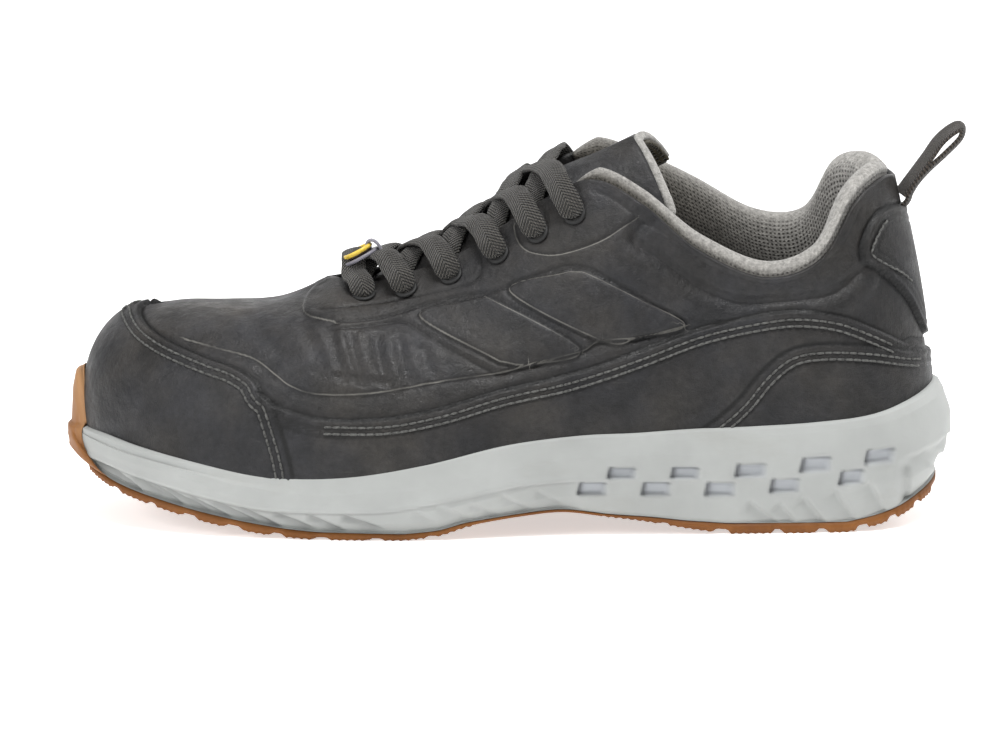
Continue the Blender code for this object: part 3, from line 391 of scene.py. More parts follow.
def resample(points, step=3.0, closed=False):
    """A smooth line through picture points, as points about a step apart."""
    p = np.array(points, float)
    if closed:
        p = np.vstack([p[-1:], p, p[:2]])
    else:
        p = np.vstack([2 * p[:1] - p[1:2], p, 2 * p[-1:] - p[-2:-1]])
    made = []
    for a, b, c, d in zip(p, p[1:], p[2:], p[3:]):
        count = max(int(np.linalg.norm(c - b) / step), 1)
        for s in np.arange(count) / count:
            cubic = (2 * a - 5 * b + 4 * c - d) * s * s + (3 * b - a - 3 * c + d) * s**3
            made.append(0.5 * (2 * b + (c - a) * s + cubic))
    if not closed:
        made.append(p[-2])
    return np.array(made)


SEARCH_ROWS, SEARCH_SHARES = np.meshgrid(span(0, LAST_ROW + 0.9, 180), span(0, 1, 80), indexing="ij")
SEARCH_PLACES = picture_place(upper_point(SEARCH_ROWS, SEARCH_SHARES))


# Newton steps of the search, its probe, its longest move, and the least spread, in pixels, of a
# place that still moves
NEWTON_STEPS, PROBE, LONGEST_MOVE, LEAST_SPREAD = 6, 1e-3, 0.3, 300


def surface_place(pixels):
    """(row, share) on the outer side of the upper that the picture shows at some pixels."""
    flat = SEARCH_PLACES.reshape(-1, 2)
    nearest = [((flat - p) ** 2).sum(1).argmin() for p in pixels]
    place = np.stack([SEARCH_ROWS.ravel()[nearest], SEARCH_SHARES.ravel()[nearest]], -1)
    for _ in range(NEWTON_STEPS):
        row, share = place.T
        here = picture_place(upper_point(row, share))
        by_row = (picture_place(upper_point(row + PROBE, share)) - here) / PROBE
        by_share = (picture_place(upper_point(row, share + PROBE)) - here) / PROBE
        miss = pixels - here
        scale = by_row[:, 0] * by_share[:, 1] - by_row[:, 1] * by_share[:, 0]
        scale = np.where(np.abs(scale) < LEAST_SPREAD, np.inf, scale)
        row_move = miss[:, 0] * by_share[:, 1] - miss[:, 1] * by_share[:, 0]
        share_move = by_row[:, 0] * miss[:, 1] - by_row[:, 1] * miss[:, 0]
        move = np.stack([row_move / scale, share_move / scale], -1)
        place += np.clip(move, -LONGEST_MOVE, LONGEST_MOVE)
        place[:, 1] = np.clip(place[:, 1], 0.0, 1.0)
    return place


def line_distance(points, line, places, drawn):
    """Distance in space from each point to a line of joined points. It is above zero on the side
    that lies to the right of the line as the picture shows it, which is where shares fall as rows
    rise."""
    best = np.full(len(points), np.inf)
    sign = np.ones(len(points))
    for a, b, p, q in zip(line, line[1:], drawn, drawn[1:]):
        run = b - a
        s = np.clip(((points - a) @ run) / max(run @ run, 1e-18), 0, 1)
        distance = np.linalg.norm(points - (a + s[:, None] * run), axis=1)
        closer = distance < best
        best = np.where(closer, distance, best)
        turn = (q[0] - p[0]) * (places[:, 1] - p[1]) - (q[1] - p[1]) * (places[:, 0] - p[0])
        sign = np.where(closer, np.where(turn > 0, -1.0, 1.0), sign)
    return best * sign


def inside(places, polygon):
    """Which picture places lie inside a closed line."""
    result = np.zeros(len(places), bool)
    x, y = places[:, 0], places[:, 1]
    for (x1, y1), (x2, y2) in zip(polygon, np.roll(polygon, -1, axis=0)):
        crosses = ((y1 > y) != (y2 > y)) & (x < (x2 - x1) * (y - y1) / (y2 - y1 + 1e-12) + x1)
        result ^= crosses
    return result


class UpperField:
    """Points of the upper with their places, and distances to the lines drawn on them."""

    def __init__(self, rows, shares):
        self.rows, self.shares = rows, shares
        self.points = upper_point(rows, shares)
        self.marks = np.stack([side_of(rows), shares], -1)
        self.outer = rows <= LAST_ROW

    def distance(self, line, reach=9.0):
        """Signed distance in millimetres to a line of places, or a reach where it is further."""
        result = np.full(len(self.points), reach)
        for side, sign in ((self.outer, 1), (~self.outer, -1)):
            drawn = upper_point(sign * line[:, 0], line[:, 1])
            low, high = drawn.min(0) - 0.001 * reach, drawn.max(0) + 0.001 * reach
            chosen = ((self.points > low) & (self.points < high)).all(1) & side
            if chosen.any():
                found = 1000 * line_distance(self.points[chosen], drawn, self.marks[chosen], line)
                result[chosen] = np.clip(found, -reach, reach)
        return result

    def depth(self, line, region=None):
        """Signed distance to a region's edge in millimetres, above zero inside. Where the region
        is given apart from the line, only the line is its edge."""
        if region is None:
            line = np.vstack([line, line[:1]])
            polygon = line
        else:
            polygon = np.vstack([line, np.array(region, float)])
        distance = np.abs(self.distance(line))
        return np.where(inside(self.marks, polygon), distance, -distance)


def step_up(depth, width):
    s = np.clip(depth / width + 0.5, 0, 1)
    return s * s * (3 - 2 * s)


def trough(distance, width):
    return np.exp(-((distance / width) ** 2))


def lip(signed, depth, width, fade):
    """A step down to the right of a line, which comes back to the surface further out."""
    return -depth * step_up(signed, width) * trough(signed, fade)


def nearest(distances, shown):
    """The signed distance to the nearest of several lines, and where that line is drawn."""
    stack = np.array(distances)
    near = np.abs(stack).min(0)
    chosen = np.take_along_axis(stack, np.abs(stack).argmin(0)[None], 0)[0]
    return chosen, shown * np.clip(2.5 - near, 0, 1)


# Ends of the overlays' lines round the heel, as (row, share) places, and the heel tab's whole edge
RAND_END = [(15.7, 0.385), (16.3, 0.362)]
COUNTER_END = [(16.0, 0.330), (17.0, 0.315), (17.4, 0.315)]
TAB_EDGE = [
    (17.4, 0.372), (17.0, 0.375), (16.6, 0.385), (16.25, 0.440), (15.90, 0.530), (15.48, 0.626),
    (15.05, 0.725), (14.88, 0.775), (14.92, 0.822), (15.10, 0.852), (15.40, 0.880), (15.75, 0.885),
    (16.4, 0.872), (17.0, 0.862), (17.4, 0.862),
]


OPEN_LINES = {
    "cap": TOE_CAP_LINE, "rand": RAND_LINE, "counter": COUNTER_LINE, "vamp": VAMP_LINE,
    "facing": FACING_LINE, "eyelets": EYELET_PANEL, "flap": VAMP_FLAP, "ankle": ANKLE_LINE,
    "collar": COLLAR_LINE,
}
CLOSED_LINES = {"front": PANEL_FRONT, "back": PANEL_BACK, "channel": CHANNEL}


def read_lines():
    """The drawn lines as places on the upper."""
    lines = {}
    for name, pixels in OPEN_LINES.items():
        lines[name] = surface_place(resample(pixels))
    for name, pixels in CLOSED_LINES.items():
        lines[name] = surface_place(resample(pixels, closed=True))
    for name, end in (("rand", RAND_END), ("counter", COUNTER_END)):
        kept = lines[name][lines[name][:, 0] < end[0][0] - 0.25]
        lines[name] = np.vstack([kept, np.array(end)])
    lines["tab"] = resample(TAB_EDGE, 0.05)
    return lines


LINES = read_lines()
CREASE_PLACES = [(surface_place(resample(line)), depth, width) for line, depth, width in CREASES]
# Rows of stitches inside each overlay's edge, in millimetres from it
STITCH_ROWS = (2.6, 5.2)
# Overlays: line, places that close its region, height, how far outside its edge the painted shadow line runs
OVERLAYS = [
    ("cap", [(5.4, -0.5), (-1.0, -0.5), (-1.0, 0.975)], 1.7, 0.45),
    ("rand", [(16.3, -0.5), (5.12, -0.5)], 1.45, 0.4),
    ("counter", [(17.4, -0.5), (11.0, -0.5)], 2.1, 0.5),
    ("tab", None, 1.8, 0.5),
]


def read_upper(field):
    """Relief over the upper's own form, and what the finish needs to know. All depths, heights and
    widths here are in millimetres."""
    overlays = [(field.depth(LINES[name], close), height, gap) for name, close, height, gap in OVERLAYS]
    front, back, channel = (field.depth(LINES[name]) for name in ("front", "back", "channel"))
    vamp, facing, eyelets, flap, ankle, collar = (
        field.distance(LINES[name]) for name in ("vamp", "facing", "eyelets", "flap", "ankle", "collar")
    )
    layer = np.maximum.reduce([height * step_up(edge, 0.75) for edge, height, _ in overlays])
    bare = 1 - np.clip(layer / 0.8, 0, 1)
    panel = np.maximum(front, back)
    band = step_up(channel, 0.8) * (1 - step_up(panel, 0.8))
    relief = -1.15 * band * np.maximum(trough(channel - 0.9, 0.85), trough(panel + 0.9, 0.85))
    relief += 0.35 * step_up(panel, 0.9) - 0.30 * trough(channel + 0.6, 1.6) * (1 - band)
    relief += lip(vamp, 0.85, 0.6, 2.6) + lip(flap, 0.8, 0.6, 2.4) + 0.45 * trough(flap + 1.8, 1.2)
    relief += lip(ankle, 0.8, 0.9, 3.4) - 1.25 * trough(ankle + 0.6, 1.5)
    relief += 0.9 * trough(ankle - 5.0, 3.4) - 0.35 * trough(collar, 0.7)
    relief -= 0.50 * trough(facing, 0.6) + 0.65 * trough(eyelets, 0.6)
    for line, depth, width in CREASE_PLACES:
        crease = field.distance(line, reach=12.0)
        relief -= 1.7 * depth * (trough(crease, width) - 0.4 * trough(np.abs(crease) - 1.9 * width, width))
    for edge, _, _ in overlays:
        relief -= 0.55 * trough(edge + 0.8, 0.6) * bare
    relief = relief * bare + layer
    seams = [edge - row for edge, _, _ in overlays for row in STITCH_ROWS]
    for seam in seams:
        relief -= 0.30 * trough(seam, 0.6)
    # Painted highlight along the raised edges of the panels, the vamp, the flap and the eyelet panel
    light, light_on = nearest([front, back, vamp, flap, eyelets - 0.5], bare)
    # Painted shadow just outside each overlay's edge, below its step
    dark, dark_on = nearest([edge + gap for edge, _, gap in overlays], 1.0)
    # Painted shade along the grooves of the facing, the eyelet panel and the channel
    soft, soft_on = nearest([facing, eyelets, channel - 0.9, panel + 0.9], bare)
    seam, seam_on = nearest(seams, 1.0)
    return {
        "relief": relief, "light": light, "light_on": light_on, "dark": dark, "dark_on": dark_on,
        "soft": soft, "soft_on": soft_on, "seam": seam, "seam_on": seam_on,
    }


def even_rows(start, end, spacing):
    """Row numbers between two rows whose columns stand about a spacing apart."""
    rows = span(start, end, 800)
    plan = upper_point(rows, 0.45)
    run = run_along(plan)
    return np.interp(span(0, run[-1], int(run[-1] / spacing) + 2), run, rows)


def rows_round(outer_spacing, inner_spacing):
    """Row numbers all round the shoe."""
    there = even_rows(0, LAST_ROW, outer_spacing)
    return np.concatenate([there, even_rows(LAST_ROW, ROUND, inner_spacing)[1:-1]])


def grid_faces(rings, count, wrapped=False, skip=None):
    """Four-cornered faces between closed rings of points, each ring holding count points."""
    a = np.arange(rings if wrapped else rings - 1)[:, None] * count
    b = (a + count) % (rings * count)
    i = np.arange(count)[None, :]
    j = (i + 1) % count
    quads = np.stack([a + i, a + j, b + j, b + i], -1)
    if skip is not None:
        quads = quads[~skip]
    return quads.reshape(-1, 4).tolist()


def add_object(name, data):
    made = bpy.data.objects.new(name, data)
    bpy.context.scene.collection.objects.link(made)
    return made


def mesh_object(name, points, faces, **values):
    """A smooth piece from points in the shoe's coordinates, with a number at each point."""
    data = bpy.data.meshes.new(name)
    data.from_pydata([tuple(p) for p in np.asarray(points) + SHIFT], [], faces)
    for key, given in values.items():
        attribute = data.attributes.new(key, "FLOAT", "POINT")
        attribute.data.foreach_set("value", np.asarray(given, np.float32).ravel())
    mesh = bmesh.new()
    mesh.from_mesh(data)
    bmesh.ops.remove_doubles(mesh, verts=mesh.verts, dist=1e-5)
    bmesh.ops.recalc_face_normals(mesh, faces=mesh.faces)
    mesh.to_mesh(data)
    mesh.free()
    data.polygons.foreach_set("use_smooth", [True] * len(data.polygons))
    return add_object(name, data)


def loft(name, rings, wrapped=False, **values):
    """A closed piece from closed rings of points, each joined to the next."""
    rings = np.asarray(rings)
    count, size = rings.shape[:2]
    faces = grid_faces(count, size, wrapped=wrapped)
    if not wrapped:
        faces += [list(range(size))[::-1], list(range((count - 1) * size, count * size))]
    return mesh_object(name, rings.reshape(-1, 3), faces, **values)


def swept(path, ups, section, looped=False):
    """Rings of a section carried along a path, with the millimetres along and across it."""
    run = unit(np.roll(path, -1, 0) - np.roll(path, 1, 0)) if looped else unit(np.gradient(path, axis=0))
    side = unit(np.cross(ups, run))
    up = np.cross(run, side)
    section = np.broadcast_to(section, (len(path),) + np.shape(section)[-2:])
    rings = path[:, None] + section[..., :1] * side[:, None] + section[..., 1:] * up[:, None]
    along = np.repeat(1000 * run_along(path)[:, None], section.shape[1], 1)
    return rings, {"along": along, "across": 1000 * section[..., 0]}


def round_section(width, thickness, count=12, power=0.62):
    """Points of a flat rounded section, widest across."""
    angle = np.linspace(0, 2 * math.pi, count, endpoint=False)
    c, s = np.cos(angle), np.sin(angle)
    x = np.sign(c) * np.abs(c) ** power * width / 2
    y = np.sign(s) * np.abs(s) ** power * thickness / 2
    return np.stack([x, y], -1)


OUTER_SPACING, INNER_SPACING = 0.0009, 0.0013
UPPER_LEVELS = 122
WALL_LEVELS = 9
HIDDEN_TONE = 0.8


def make_upper():
    """The leather shell with its overlays and panels raised on it."""
    rows = rows_round(OUTER_SPACING, INNER_SPACING)
    there = rows[rows <= LAST_ROW]
    row_grid, share_grid = np.meshgrid(rows, span(0.0, 1.0, UPPER_LEVELS))
    field = UpperField(row_grid.ravel(), share_grid.ravel())
    read = read_upper(field)
    count = len(rows)
    outer = skin(field.rows, field.shares, 0.001 * read.pop("relief")).reshape(UPPER_LEVELS, count, 3)
    ridge = side_of(rows) <= VAMP_POINT
    for i in np.nonzero(ridge & (rows > LAST_ROW))[0]:
        outer[-1, i] = [np.interp(ROUND - rows[i], there, outer[-1, : len(there), k]) for k in range(3)]
    inner = np.array([skin(rows, s, -WALL) for s in span(1.0, 0.0, WALL_LEVELS)])
    fold = (outer[-1] + inner[0]) / 2 + 0.0007 * unit(outer[-1] - outer[-3]) * (~ridge)[:, None]
    points = np.concatenate([outer.reshape(-1, 3), fold, inner.reshape(-1, 3)])
    rings = UPPER_LEVELS + 1 + WALL_LEVELS
    skip = np.zeros((rings, count), bool)
    skip[UPPER_LEVELS - 1 : UPPER_LEVELS + 1, ridge & np.roll(ridge, -1)] = True
    faces = grid_faces(rings, count, wrapped=True, skip=skip)
    read["tone"] = read_tone(field)
    hidden = len(points) - len(field.rows)
    values = {}
    for key, given in read.items():
        values[key] = np.concatenate([given, np.full(hidden, HIDDEN_TONE if key == "tone" else 0.0)])
    return mesh_object("upper_leather", points, faces, **values)


# Lighter and darker clouds on the leather, partly scuffs and partly painted light on the top of the toe where
# it turns up to the lamps: middle and half size in the picture, and the change
TONES = [
    (118, 318, 52, 26, 0.90), (232, 312, 56, 20, 0.95), (300, 352, 70, 22, 0.30),
    (368, 352, 60, 26, 0.45), (205, 410, 52, 26, 0.30), (470, 330, 70, 30, 0.30),
    (600, 285, 60, 36, 0.25), (585, 322, 60, 18, 0.30), (330, 296, 40, 12, 0.35),
    (895, 285, 60, 90, -0.30), (640, 420, 260, 30, -0.12), (120, 430, 60, 40, 0.10),
]


def read_tone(field):
    """Lightness painted on the leather from place to place, 1 being its common black grey: scuffs, and
    painted light on the top of the toe.
    """
    x, y = picture_place(upper_point(side_of(field.rows), field.shares)).T
    tone = np.ones(len(x))
    for cx, cy, wide, high, gain in TONES:
        tone += gain * np.exp(-(((x - cx) / wide) ** 2) - ((y - cy) / high) ** 2)
    return tone


# Stitches, as small raised threads along lines set off from the overlays' edges: each line in
# pixels, and how far to its right the thread lies
STITCH_LENGTH, STITCH_PITCH, STITCH_RADIUS = 0.0025, 0.0028, 0.00040
STITCH_RISE = [-0.35, 0.20, 0.34, 0.20, -0.35]
STITCH_SIDES = 6
STITCH_LAST_ROW, STITCH_LAST_SHARE = 16.2, 0.90
STITCH_LINES = [
    (TOE_CAP_LINE[1:], 8.0), (TOE_CAP_LINE[1:], 15.0), (RAND_LINE[2:-1], 7.5), (RAND_LINE[2:-1], 14.0),
    (COUNTER_LINE, 7.5), (COUNTER_LINE, 14.0), (TAB_LINE[2:-2], 7.0),
]


def offset_line(pixels, offset):
    """A picture line moved to its right by some pixels."""
    line = resample(pixels)
    run = unit(np.gradient(line, axis=0))
    return line + offset * np.stack([-run[:, 1], run[:, 0]], -1)


def make_stitches():
    """Single threads, each a short bowed tube that dips into the leather at its ends."""
    rows, shares = [], []
    count = len(STITCH_RISE)
    steps = span(-0.5, 0.5, count) * STITCH_LENGTH
    for pixels, offset in STITCH_LINES:
        place = surface_place(offset_line(pixels, offset))
        place = place[(place[:, 0] < STITCH_LAST_ROW) & (place[:, 1] < STITCH_LAST_SHARE)]
        points = upper_point(place[:, 0], place[:, 1])
        run = run_along(points)
        at = (np.arange(STITCH_PITCH, run[-1] - STITCH_PITCH, STITCH_PITCH)[:, None] + steps).ravel()
        row = np.interp(at, run, place[:, 0])
        share = np.interp(at, run, place[:, 1])
        rows += [row, ROUND - row]
        shares += [share, share]
    rows, shares = np.concatenate(rows), np.concatenate(shares)
    relief = read_upper(UpperField(rows, shares))["relief"]
    rise = np.tile(STITCH_RISE, len(rows) // count)
    normals = upper_normal(rows, shares).reshape(-1, count, 3)
    lines = skin(rows, shares, 0.001 * (relief + rise)).reshape(-1, count, 3)
    angle = np.linspace(0, 2 * math.pi, STITCH_SIDES, endpoint=False)
    section = np.stack([np.cos(angle), np.sin(angle)], -1) * STITCH_RADIUS
    points, faces = [], []
    for line, normal in zip(lines, normals):
        first = len(points) * count * STITCH_SIDES
        points.append(swept(line, normal, section)[0].reshape(-1, 3))
        faces += [[first + k for k in face] for face in grid_faces(count, STITCH_SIDES)]
    return mesh_object("stitches", np.concatenate(points), faces)


# The midsole: its smooth band above a moulded crease, folds below it, and blocks let into the heel

CREASE_LINE = [
    (40, 440), (75, 452), (106, 465), (140, 479), (198, 497), (255, 510), (290, 513), (347, 514),
    (393, 512), (446, 502), (492, 492), (526, 486), (574, 482), (610, 481), (640, 482), (704, 482),
    (768, 478), (800, 474), (838, 470), (864, 466), (896, 460), (932, 447), (950, 433), (980, 405),
]
FOLDS = [
    ((94, 453), (120, 479)), ((107, 465), (140, 492)), ((127, 472), (161, 495)), ((145, 479), (186, 509)),
    ((161, 486), (211, 513)), ((186, 495), (234, 520)), ((209, 499), (257, 522)), ((237, 505), (280, 527)),
    ((273, 512), (310, 527)), ((308, 515), (340, 529)), ((342, 515), (377, 527)),
]
FLUTES = [
    ((414, 511), (434, 522)), ((439, 506), (467, 518)), ((471, 504), (496, 515)), ((503, 495), (529, 509)),
    ((538, 490), (561, 504)),
]
SCALLOPS = [
    ((750, 501), (780, 522)), ((780, 503), (795, 519)), ((804, 496), (825, 521)), ((836, 489), (855, 517)),
    ((871, 481), (887, 510)), ((914, 464), (912, 501)), ((948, 453), (945, 467)),
]
# Each block: left, right, top at its left end, bottom at its left end, and how much higher its
# right end is, in pixels
BLOCKS = [
    (577, 608, 483, 495, 0), (640.6, 672, 483, 495.5, 0), (704, 736.6, 483, 496, 0),
    (768.7, 801, 480, 493, 1), (838, 866, 472.5, 486, 3), (606.6, 637.6, 468, 479, 0),
    (670, 701, 468, 479, 0), (734, 768, 465, 478, 1), (799, 833, 459, 473, 2), (864, 897, 451, 465, 3),
]
SOLE_SPACINGS, SOLE_LEVELS = (0.00078, 0.001092), 78
PLATE_GAP = 0.0006
BLOCK_DEPTH = 2.2


def fold_relief(places, lines, depth, width, fade):
    """Hollows that start sharply at lines in the picture and fade out to the left of them."""
    relief = np.zeros(len(places))
    for a, b in lines:
        a, b = np.array(a, float), np.array(b, float)
        run = (b - a) / np.linalg.norm(b - a)
        along = (places - a) @ run / np.linalg.norm(b - a)
        across = (run[0] * (places[:, 1] - a[1]) - run[1] * (places[:, 0] - a[0])) / PIXELS_PER_MM
        ends = step_up(along - 0.02, 0.2) * (1 - step_up(along - 1.05, 0.5))
        relief = np.minimum(relief, -depth * ends * step_up(across, width) * trough(across, fade))
    return relief


def sole_relief(places):
    """How far the midsole's side stands out at picture places, and where it is sunk and shaded. All
    depths and widths here are in millimetres."""
    x, y = places[:, 0], places[:, 1]
    line = resample(CREASE_LINE, 4.0)
    below = (y - np.interp(x, line[:, 0], line[:, 1])) / PIXELS_PER_MM
    heel = step_up((x - 575) / PIXELS_PER_MM, 8.0)
    relief = -1.4 * step_up(below, 0.9) * (1 - 0.85 * heel * (1 - step_up((x - 905) / PIXELS_PER_MM, 6.0)))
    relief += 0.30 * trough(below + 1.0, 1.0) * (1 - heel)
    lower = step_up(below - 0.3, 0.8)
    folds = fold_relief(places, FOLDS, 2.0, 0.6, 2.4) * lower
    folds += fold_relief(places, FLUTES, 0.8, 1.0, 2.4) * lower
    relief += folds + fold_relief(places, SCALLOPS, 1.5, 1.2, 5.2)
    shaded = np.maximum(0.45 * trough(folds + 2.0, 0.9) * lower, 0.6 * trough(below - 0.5, 0.45) * (1 - heel))
    sunk, reveal = np.zeros(len(x)), np.zeros(len(x))
    for left, right, top, low, climb in BLOCKS:
        s = (x - left) / (right - left)
        edge = (x - left - 0.25 * (low - y)) / PIXELS_PER_MM
        high = (y - top + climb * s) / PIXELS_PER_MM
        under = (low - y - climb * s) / PIXELS_PER_MM
        far = (right - x) / PIXELS_PER_MM
        hole = step_up(edge - 0.3, 1.0) * step_up(high - 0.1, 0.5) * step_up(under - 0.1, 1.1)
        sunk = np.maximum(sunk, hole * step_up(far - 1.0, 2.6))
        # Painted shade on each block's left wall and along its top edge
        wall = np.maximum(trough(edge - 0.8, 1.0), 0.75 * trough(high - 0.3, 0.4))
        within = step_up(edge + 0.3, 0.8) * step_up(high + 0.3, 0.6) * step_up(under, 0.7)
        reveal = np.maximum(reveal, wall * (within * step_up(far - 0.4, 1.5)))
    return relief - BLOCK_DEPTH * sunk, sunk, np.maximum(reveal, 0.6 * shaded)


def side_profile(row):
    """The midsole's side at rows, rim to foot, as (set in from the widest line, height)."""
    share = outline(row)[..., 0] / SOLE_LENGTH
    room = guard_room(row)
    top = EDGE_INSET * RIM_CURVE(share)
    foot = EDGE_INSET * FOOT_CURVE(share) + room
    rim = around(ROUND_RIM, row)
    bottom = sole_bottom(outline(row, foot)[..., 0])
    crease = np.maximum(RIM_HEIGHT * CREASE_CURVE(share), bottom + 0.25 * (rim - bottom))
    side = [
        (room + top + 0.0012, rim),
        (room + top, rim - 0.0007),
        (room + 0.7 * top, rim - 0.003),
        (room + 0.1 * top, (rim + crease) / 2),
        (room, crease),
        (0.45 * foot + 0.55 * room, 0.4 * crease + 0.6 * bottom),
        (foot - 0.0006, bottom + 0.0006),
        (foot + 0.0004, bottom - PLATE_GAP),
    ]
    return np.array([inset for inset, _ in side]), np.array([height for _, height in side])


def make_midsole():
    """The foam cup: a floor, a rim against the leather, and the side with its relief."""
    rows = rows_round(*SOLE_SPACINGS)
    insets, heights = side_profile(rows)
    knots = span(0, 1, len(insets))
    levels = span(0, 1, SOLE_LEVELS)
    inset, height = (
        np.array([np.interp(levels, knots, column) for column in given.T]).T for given in (insets, heights)
    )
    for _ in range(3):
        inset[1:-1] = (inset[:-2] + 2 * inset[1:-1] + inset[2:]) / 4
    seen = np.concatenate([outline(side_of(rows) + 0 * inset, inset), height[..., None]], -1)
    relief, sunk, reveal = sole_relief(picture_place(seen).reshape(-1, 2))
    ends = np.clip(np.minimum(levels, 1 - levels) * 18, 0, 1)[:, None]
    relief = relief.reshape(inset.shape) * ends
    side = np.concatenate([outline(rows + 0 * inset, inset - 0.001 * relief), height[..., None]], -1)
    foot = skin(rows, 0.0, FIT_GAP)
    foot[:, 2] = floor_height(foot[:, 0])
    lip_ring = skin(rows, share_at(rows, heights[0]), FIT_GAP)
    centre = spine(rows)
    middle = np.concatenate([centre, floor_height(centre[:, 0])[:, None]], -1)
    under = np.concatenate([centre, sole_bottom(centre[:, 0])[:, None] - PLATE_GAP], -1)
    half = (side[-1] + under) / 2
    half[:, 2] = sole_bottom(half[:, 0]) - PLATE_GAP
    before, after = [middle, foot, lip_ring], [half, under]
    rings = np.concatenate([before, side, after])
    values = {"sunk": sunk, "reveal": reveal}
    for key, given in values.items():
        values[key] = np.zeros(rings.shape[:2])
        values[key][len(before) : -len(after)] = given.reshape(inset.shape)
    return mesh_object("midsole_foam", rings.reshape(-1, 3), grid_faces(len(rings), len(rows)), **values)


# Lugs round the tread's edge: row numbers where each starts and ends, the same on both sides
EDGE_LUGS = [
    (1.20, 2.30), (2.50, 3.18), (3.30, 3.78), (4.00, 4.42), (4.63, 5.02), (5.18, 5.60), (5.77, 6.30),
    (6.45, 7.00), (7.10, 7.60), (9.40, 10.45), (10.60, 11.38), (11.60, 12.28), (12.42, 12.98),
    (13.15, 13.70), (13.92, 14.40), (14.62, 15.20), (15.40, 16.00),
]
# Shares of the way from the spine to the tread's edge where the two rings of lugs lie
LUG_BANDS = [(0.36, 0.68), (0.74, 1.5)]
LUG_SLOPE, BAND_SLOPE = 0.07, 0.03
# The plate: its share of the gum, and its gap under the foam, as in the CAD
PLATE_SHARE, CAD_PLATE_GAP = 0.45, 0.0008
# Ribs across the lugs' sides, which start at a share of the way out
TOOTH, TOOTH_PITCH, TOOTH_RISE, TOOTH_START = 0.00030, 0.0026, 0.0004, 0.9
LUG_PROUD = 0.0005
OUTSOLE_SPACINGS, OUTSOLE_LEVELS = (0.0008, 0.0011), 38


def make_outsole():
    """The gum tread: a plate with two rings of lugs, ribbed across their sides."""
    rows = rows_round(*OUTSOLE_SPACINGS)
    side = side_of(rows)
    lug = np.zeros(len(rows))
    for start, end in EDGE_LUGS:
        lug = np.maximum(lug, step_up(side - start, LUG_SLOPE) * step_up(end - side, LUG_SLOPE))
    tooth = 0.5 + 0.5 * np.sin(run_along(outline(rows)) * 2 * math.pi / TOOTH_PITCH)
    inset = EDGE_INSET * FOOT_CURVE(outline(rows)[:, 0] / SOLE_LENGTH) + guard_room(rows)
    edge, centre = outline(rows, inset), spine(rows)
    out = unit(edge - centre)
    shares = np.concatenate([span(0.0, 0.97, OUTSOLE_LEVELS), [1.0]])
    rings = []
    for share in (0.0, 0.6, 1.0):
        plan = centre + share * (edge - centre)
        rings.append(np.concatenate([plan, (sole_bottom(plan[:, 0]) - CAD_PLATE_GAP)[:, None]], -1))
    for share in shares[::-1]:
        plan = centre + share * (edge - centre)
        top = sole_bottom(plan[:, 0]) - CAD_PLATE_GAP
        low = top - PLATE_SHARE * GUM_THICKNESS * GUM_CURVE(plan[:, 0] / SOLE_LENGTH)
        band = max(step_up(share - a, BAND_SLOPE) * step_up(b - share, BAND_SLOPE) for a, b in LUG_BANDS)
        rib = tooth * (share > TOOTH_START)
        z = low + band * lug * (tread_height(plan[:, 0]) + TOOTH_RISE * rib - low)
        proud = LUG_PROUD * lug * (share > 0.96) - TOOTH * lug * rib
        rings.append(np.concatenate([plan + proud[:, None] * out, z[:, None]], -1))
    return mesh_object("outsole_gum", np.reshape(rings, (-1, 3)), grid_faces(len(rings), len(rows)))


# The guard: the rows where it ends on the inner and the outer side, how much further its tail
# runs along the foot of the outer side, and up to which share of its height
GUARD_ENDS, GUARD_TAIL, TAIL_TOP = (-2.2, 0.92), 1.3, 0.35
GUARD_THICKNESS, GUARD_HEIGHT, GUARD_PROUD, GUARD_LEAN, GUARD_FALL = 0.0032, 0.0505, 0.0011, 0.06, 0.018
GUARD_COLUMNS, GUARD_LEVELS = 90, 34
# Share of its thickness that the guard keeps, by row
GUARD_TAPER = [(0.4, 1.0), (1.2, 0.5), (2.2, 0.15)]


def rounded(share):
    """Fullness of a rounded edge: a little at 0, whole from 1 on."""
    return np.sqrt(np.clip(1 - (1 - np.clip(share, 0, 1)) ** 2, 0.02, 1))


def make_toe_guard():
    """The gum guard at the toe, thickest along its middle and rounded over its top."""
    first, levels = span(*GUARD_ENDS, GUARD_COLUMNS), span(0, 1, GUARD_LEVELS)[:, None]
    place = first / np.where(first > 0, GUARD_ENDS[1], GUARD_ENDS[0])
    tail = GUARD_TAIL * np.clip(1 - levels / TAIL_TOP, 0, 1) ** 1.4
    rows = first * np.where(first > 0, 1 + tail, 1.0)
    insets, heights = side_profile(rows)
    low = heights[-1] + 0.0004
    high = GUARD_HEIGHT - GUARD_FALL * place**2.5
    z = low + levels * (high - low)
    back = np.empty(z.shape)
    for i in np.ndindex(*z.shape):
        section = sorted(zip(heights[(slice(None), *i)], insets[(slice(None), *i)]))
        back[i] = np.interp(z[i], *zip(*section)) - 0.0002
    full = rounded((1 - place) / 0.5) * rounded((1 - levels) / 0.07)
    thick = np.minimum(GUARD_THICKNESS, np.maximum(back + GUARD_PROUD, 0.0008)) * full
    thick *= np.interp(rows, *zip(*GUARD_TAPER))
    rim = trough((place - 0.80) * 12, 0.5) * (levels > 0.1)
    lean = np.maximum(z - heights[0], 0.0) * GUARD_LEAN
    front = back - thick + 0.0003 * rim + np.maximum(levels - 0.75, 0.0) * 0.004
    front, back = (np.concatenate([outline(rows, inset + lean), z[..., None]], -1) for inset in (front, back))
    rings = np.concatenate([front, back[::-1]])
    pale = np.concatenate([levels, levels[::-1]]) + 0 * first
    return loft("toe_guard_gum", rings.transpose(1, 0, 2), height=pale.T)


# Padded collar: its section, as (share of the upper's section, distance in from the leather, rise
# above the top edge), in shares of COLLAR_PAD
COLLAR_PAD = 0.0085
COLLAR_START, COLLAR_SPACING, COLLAR_FINENESS = 9.62, 0.0008, 7
COLLAR_TAPER = 2.8
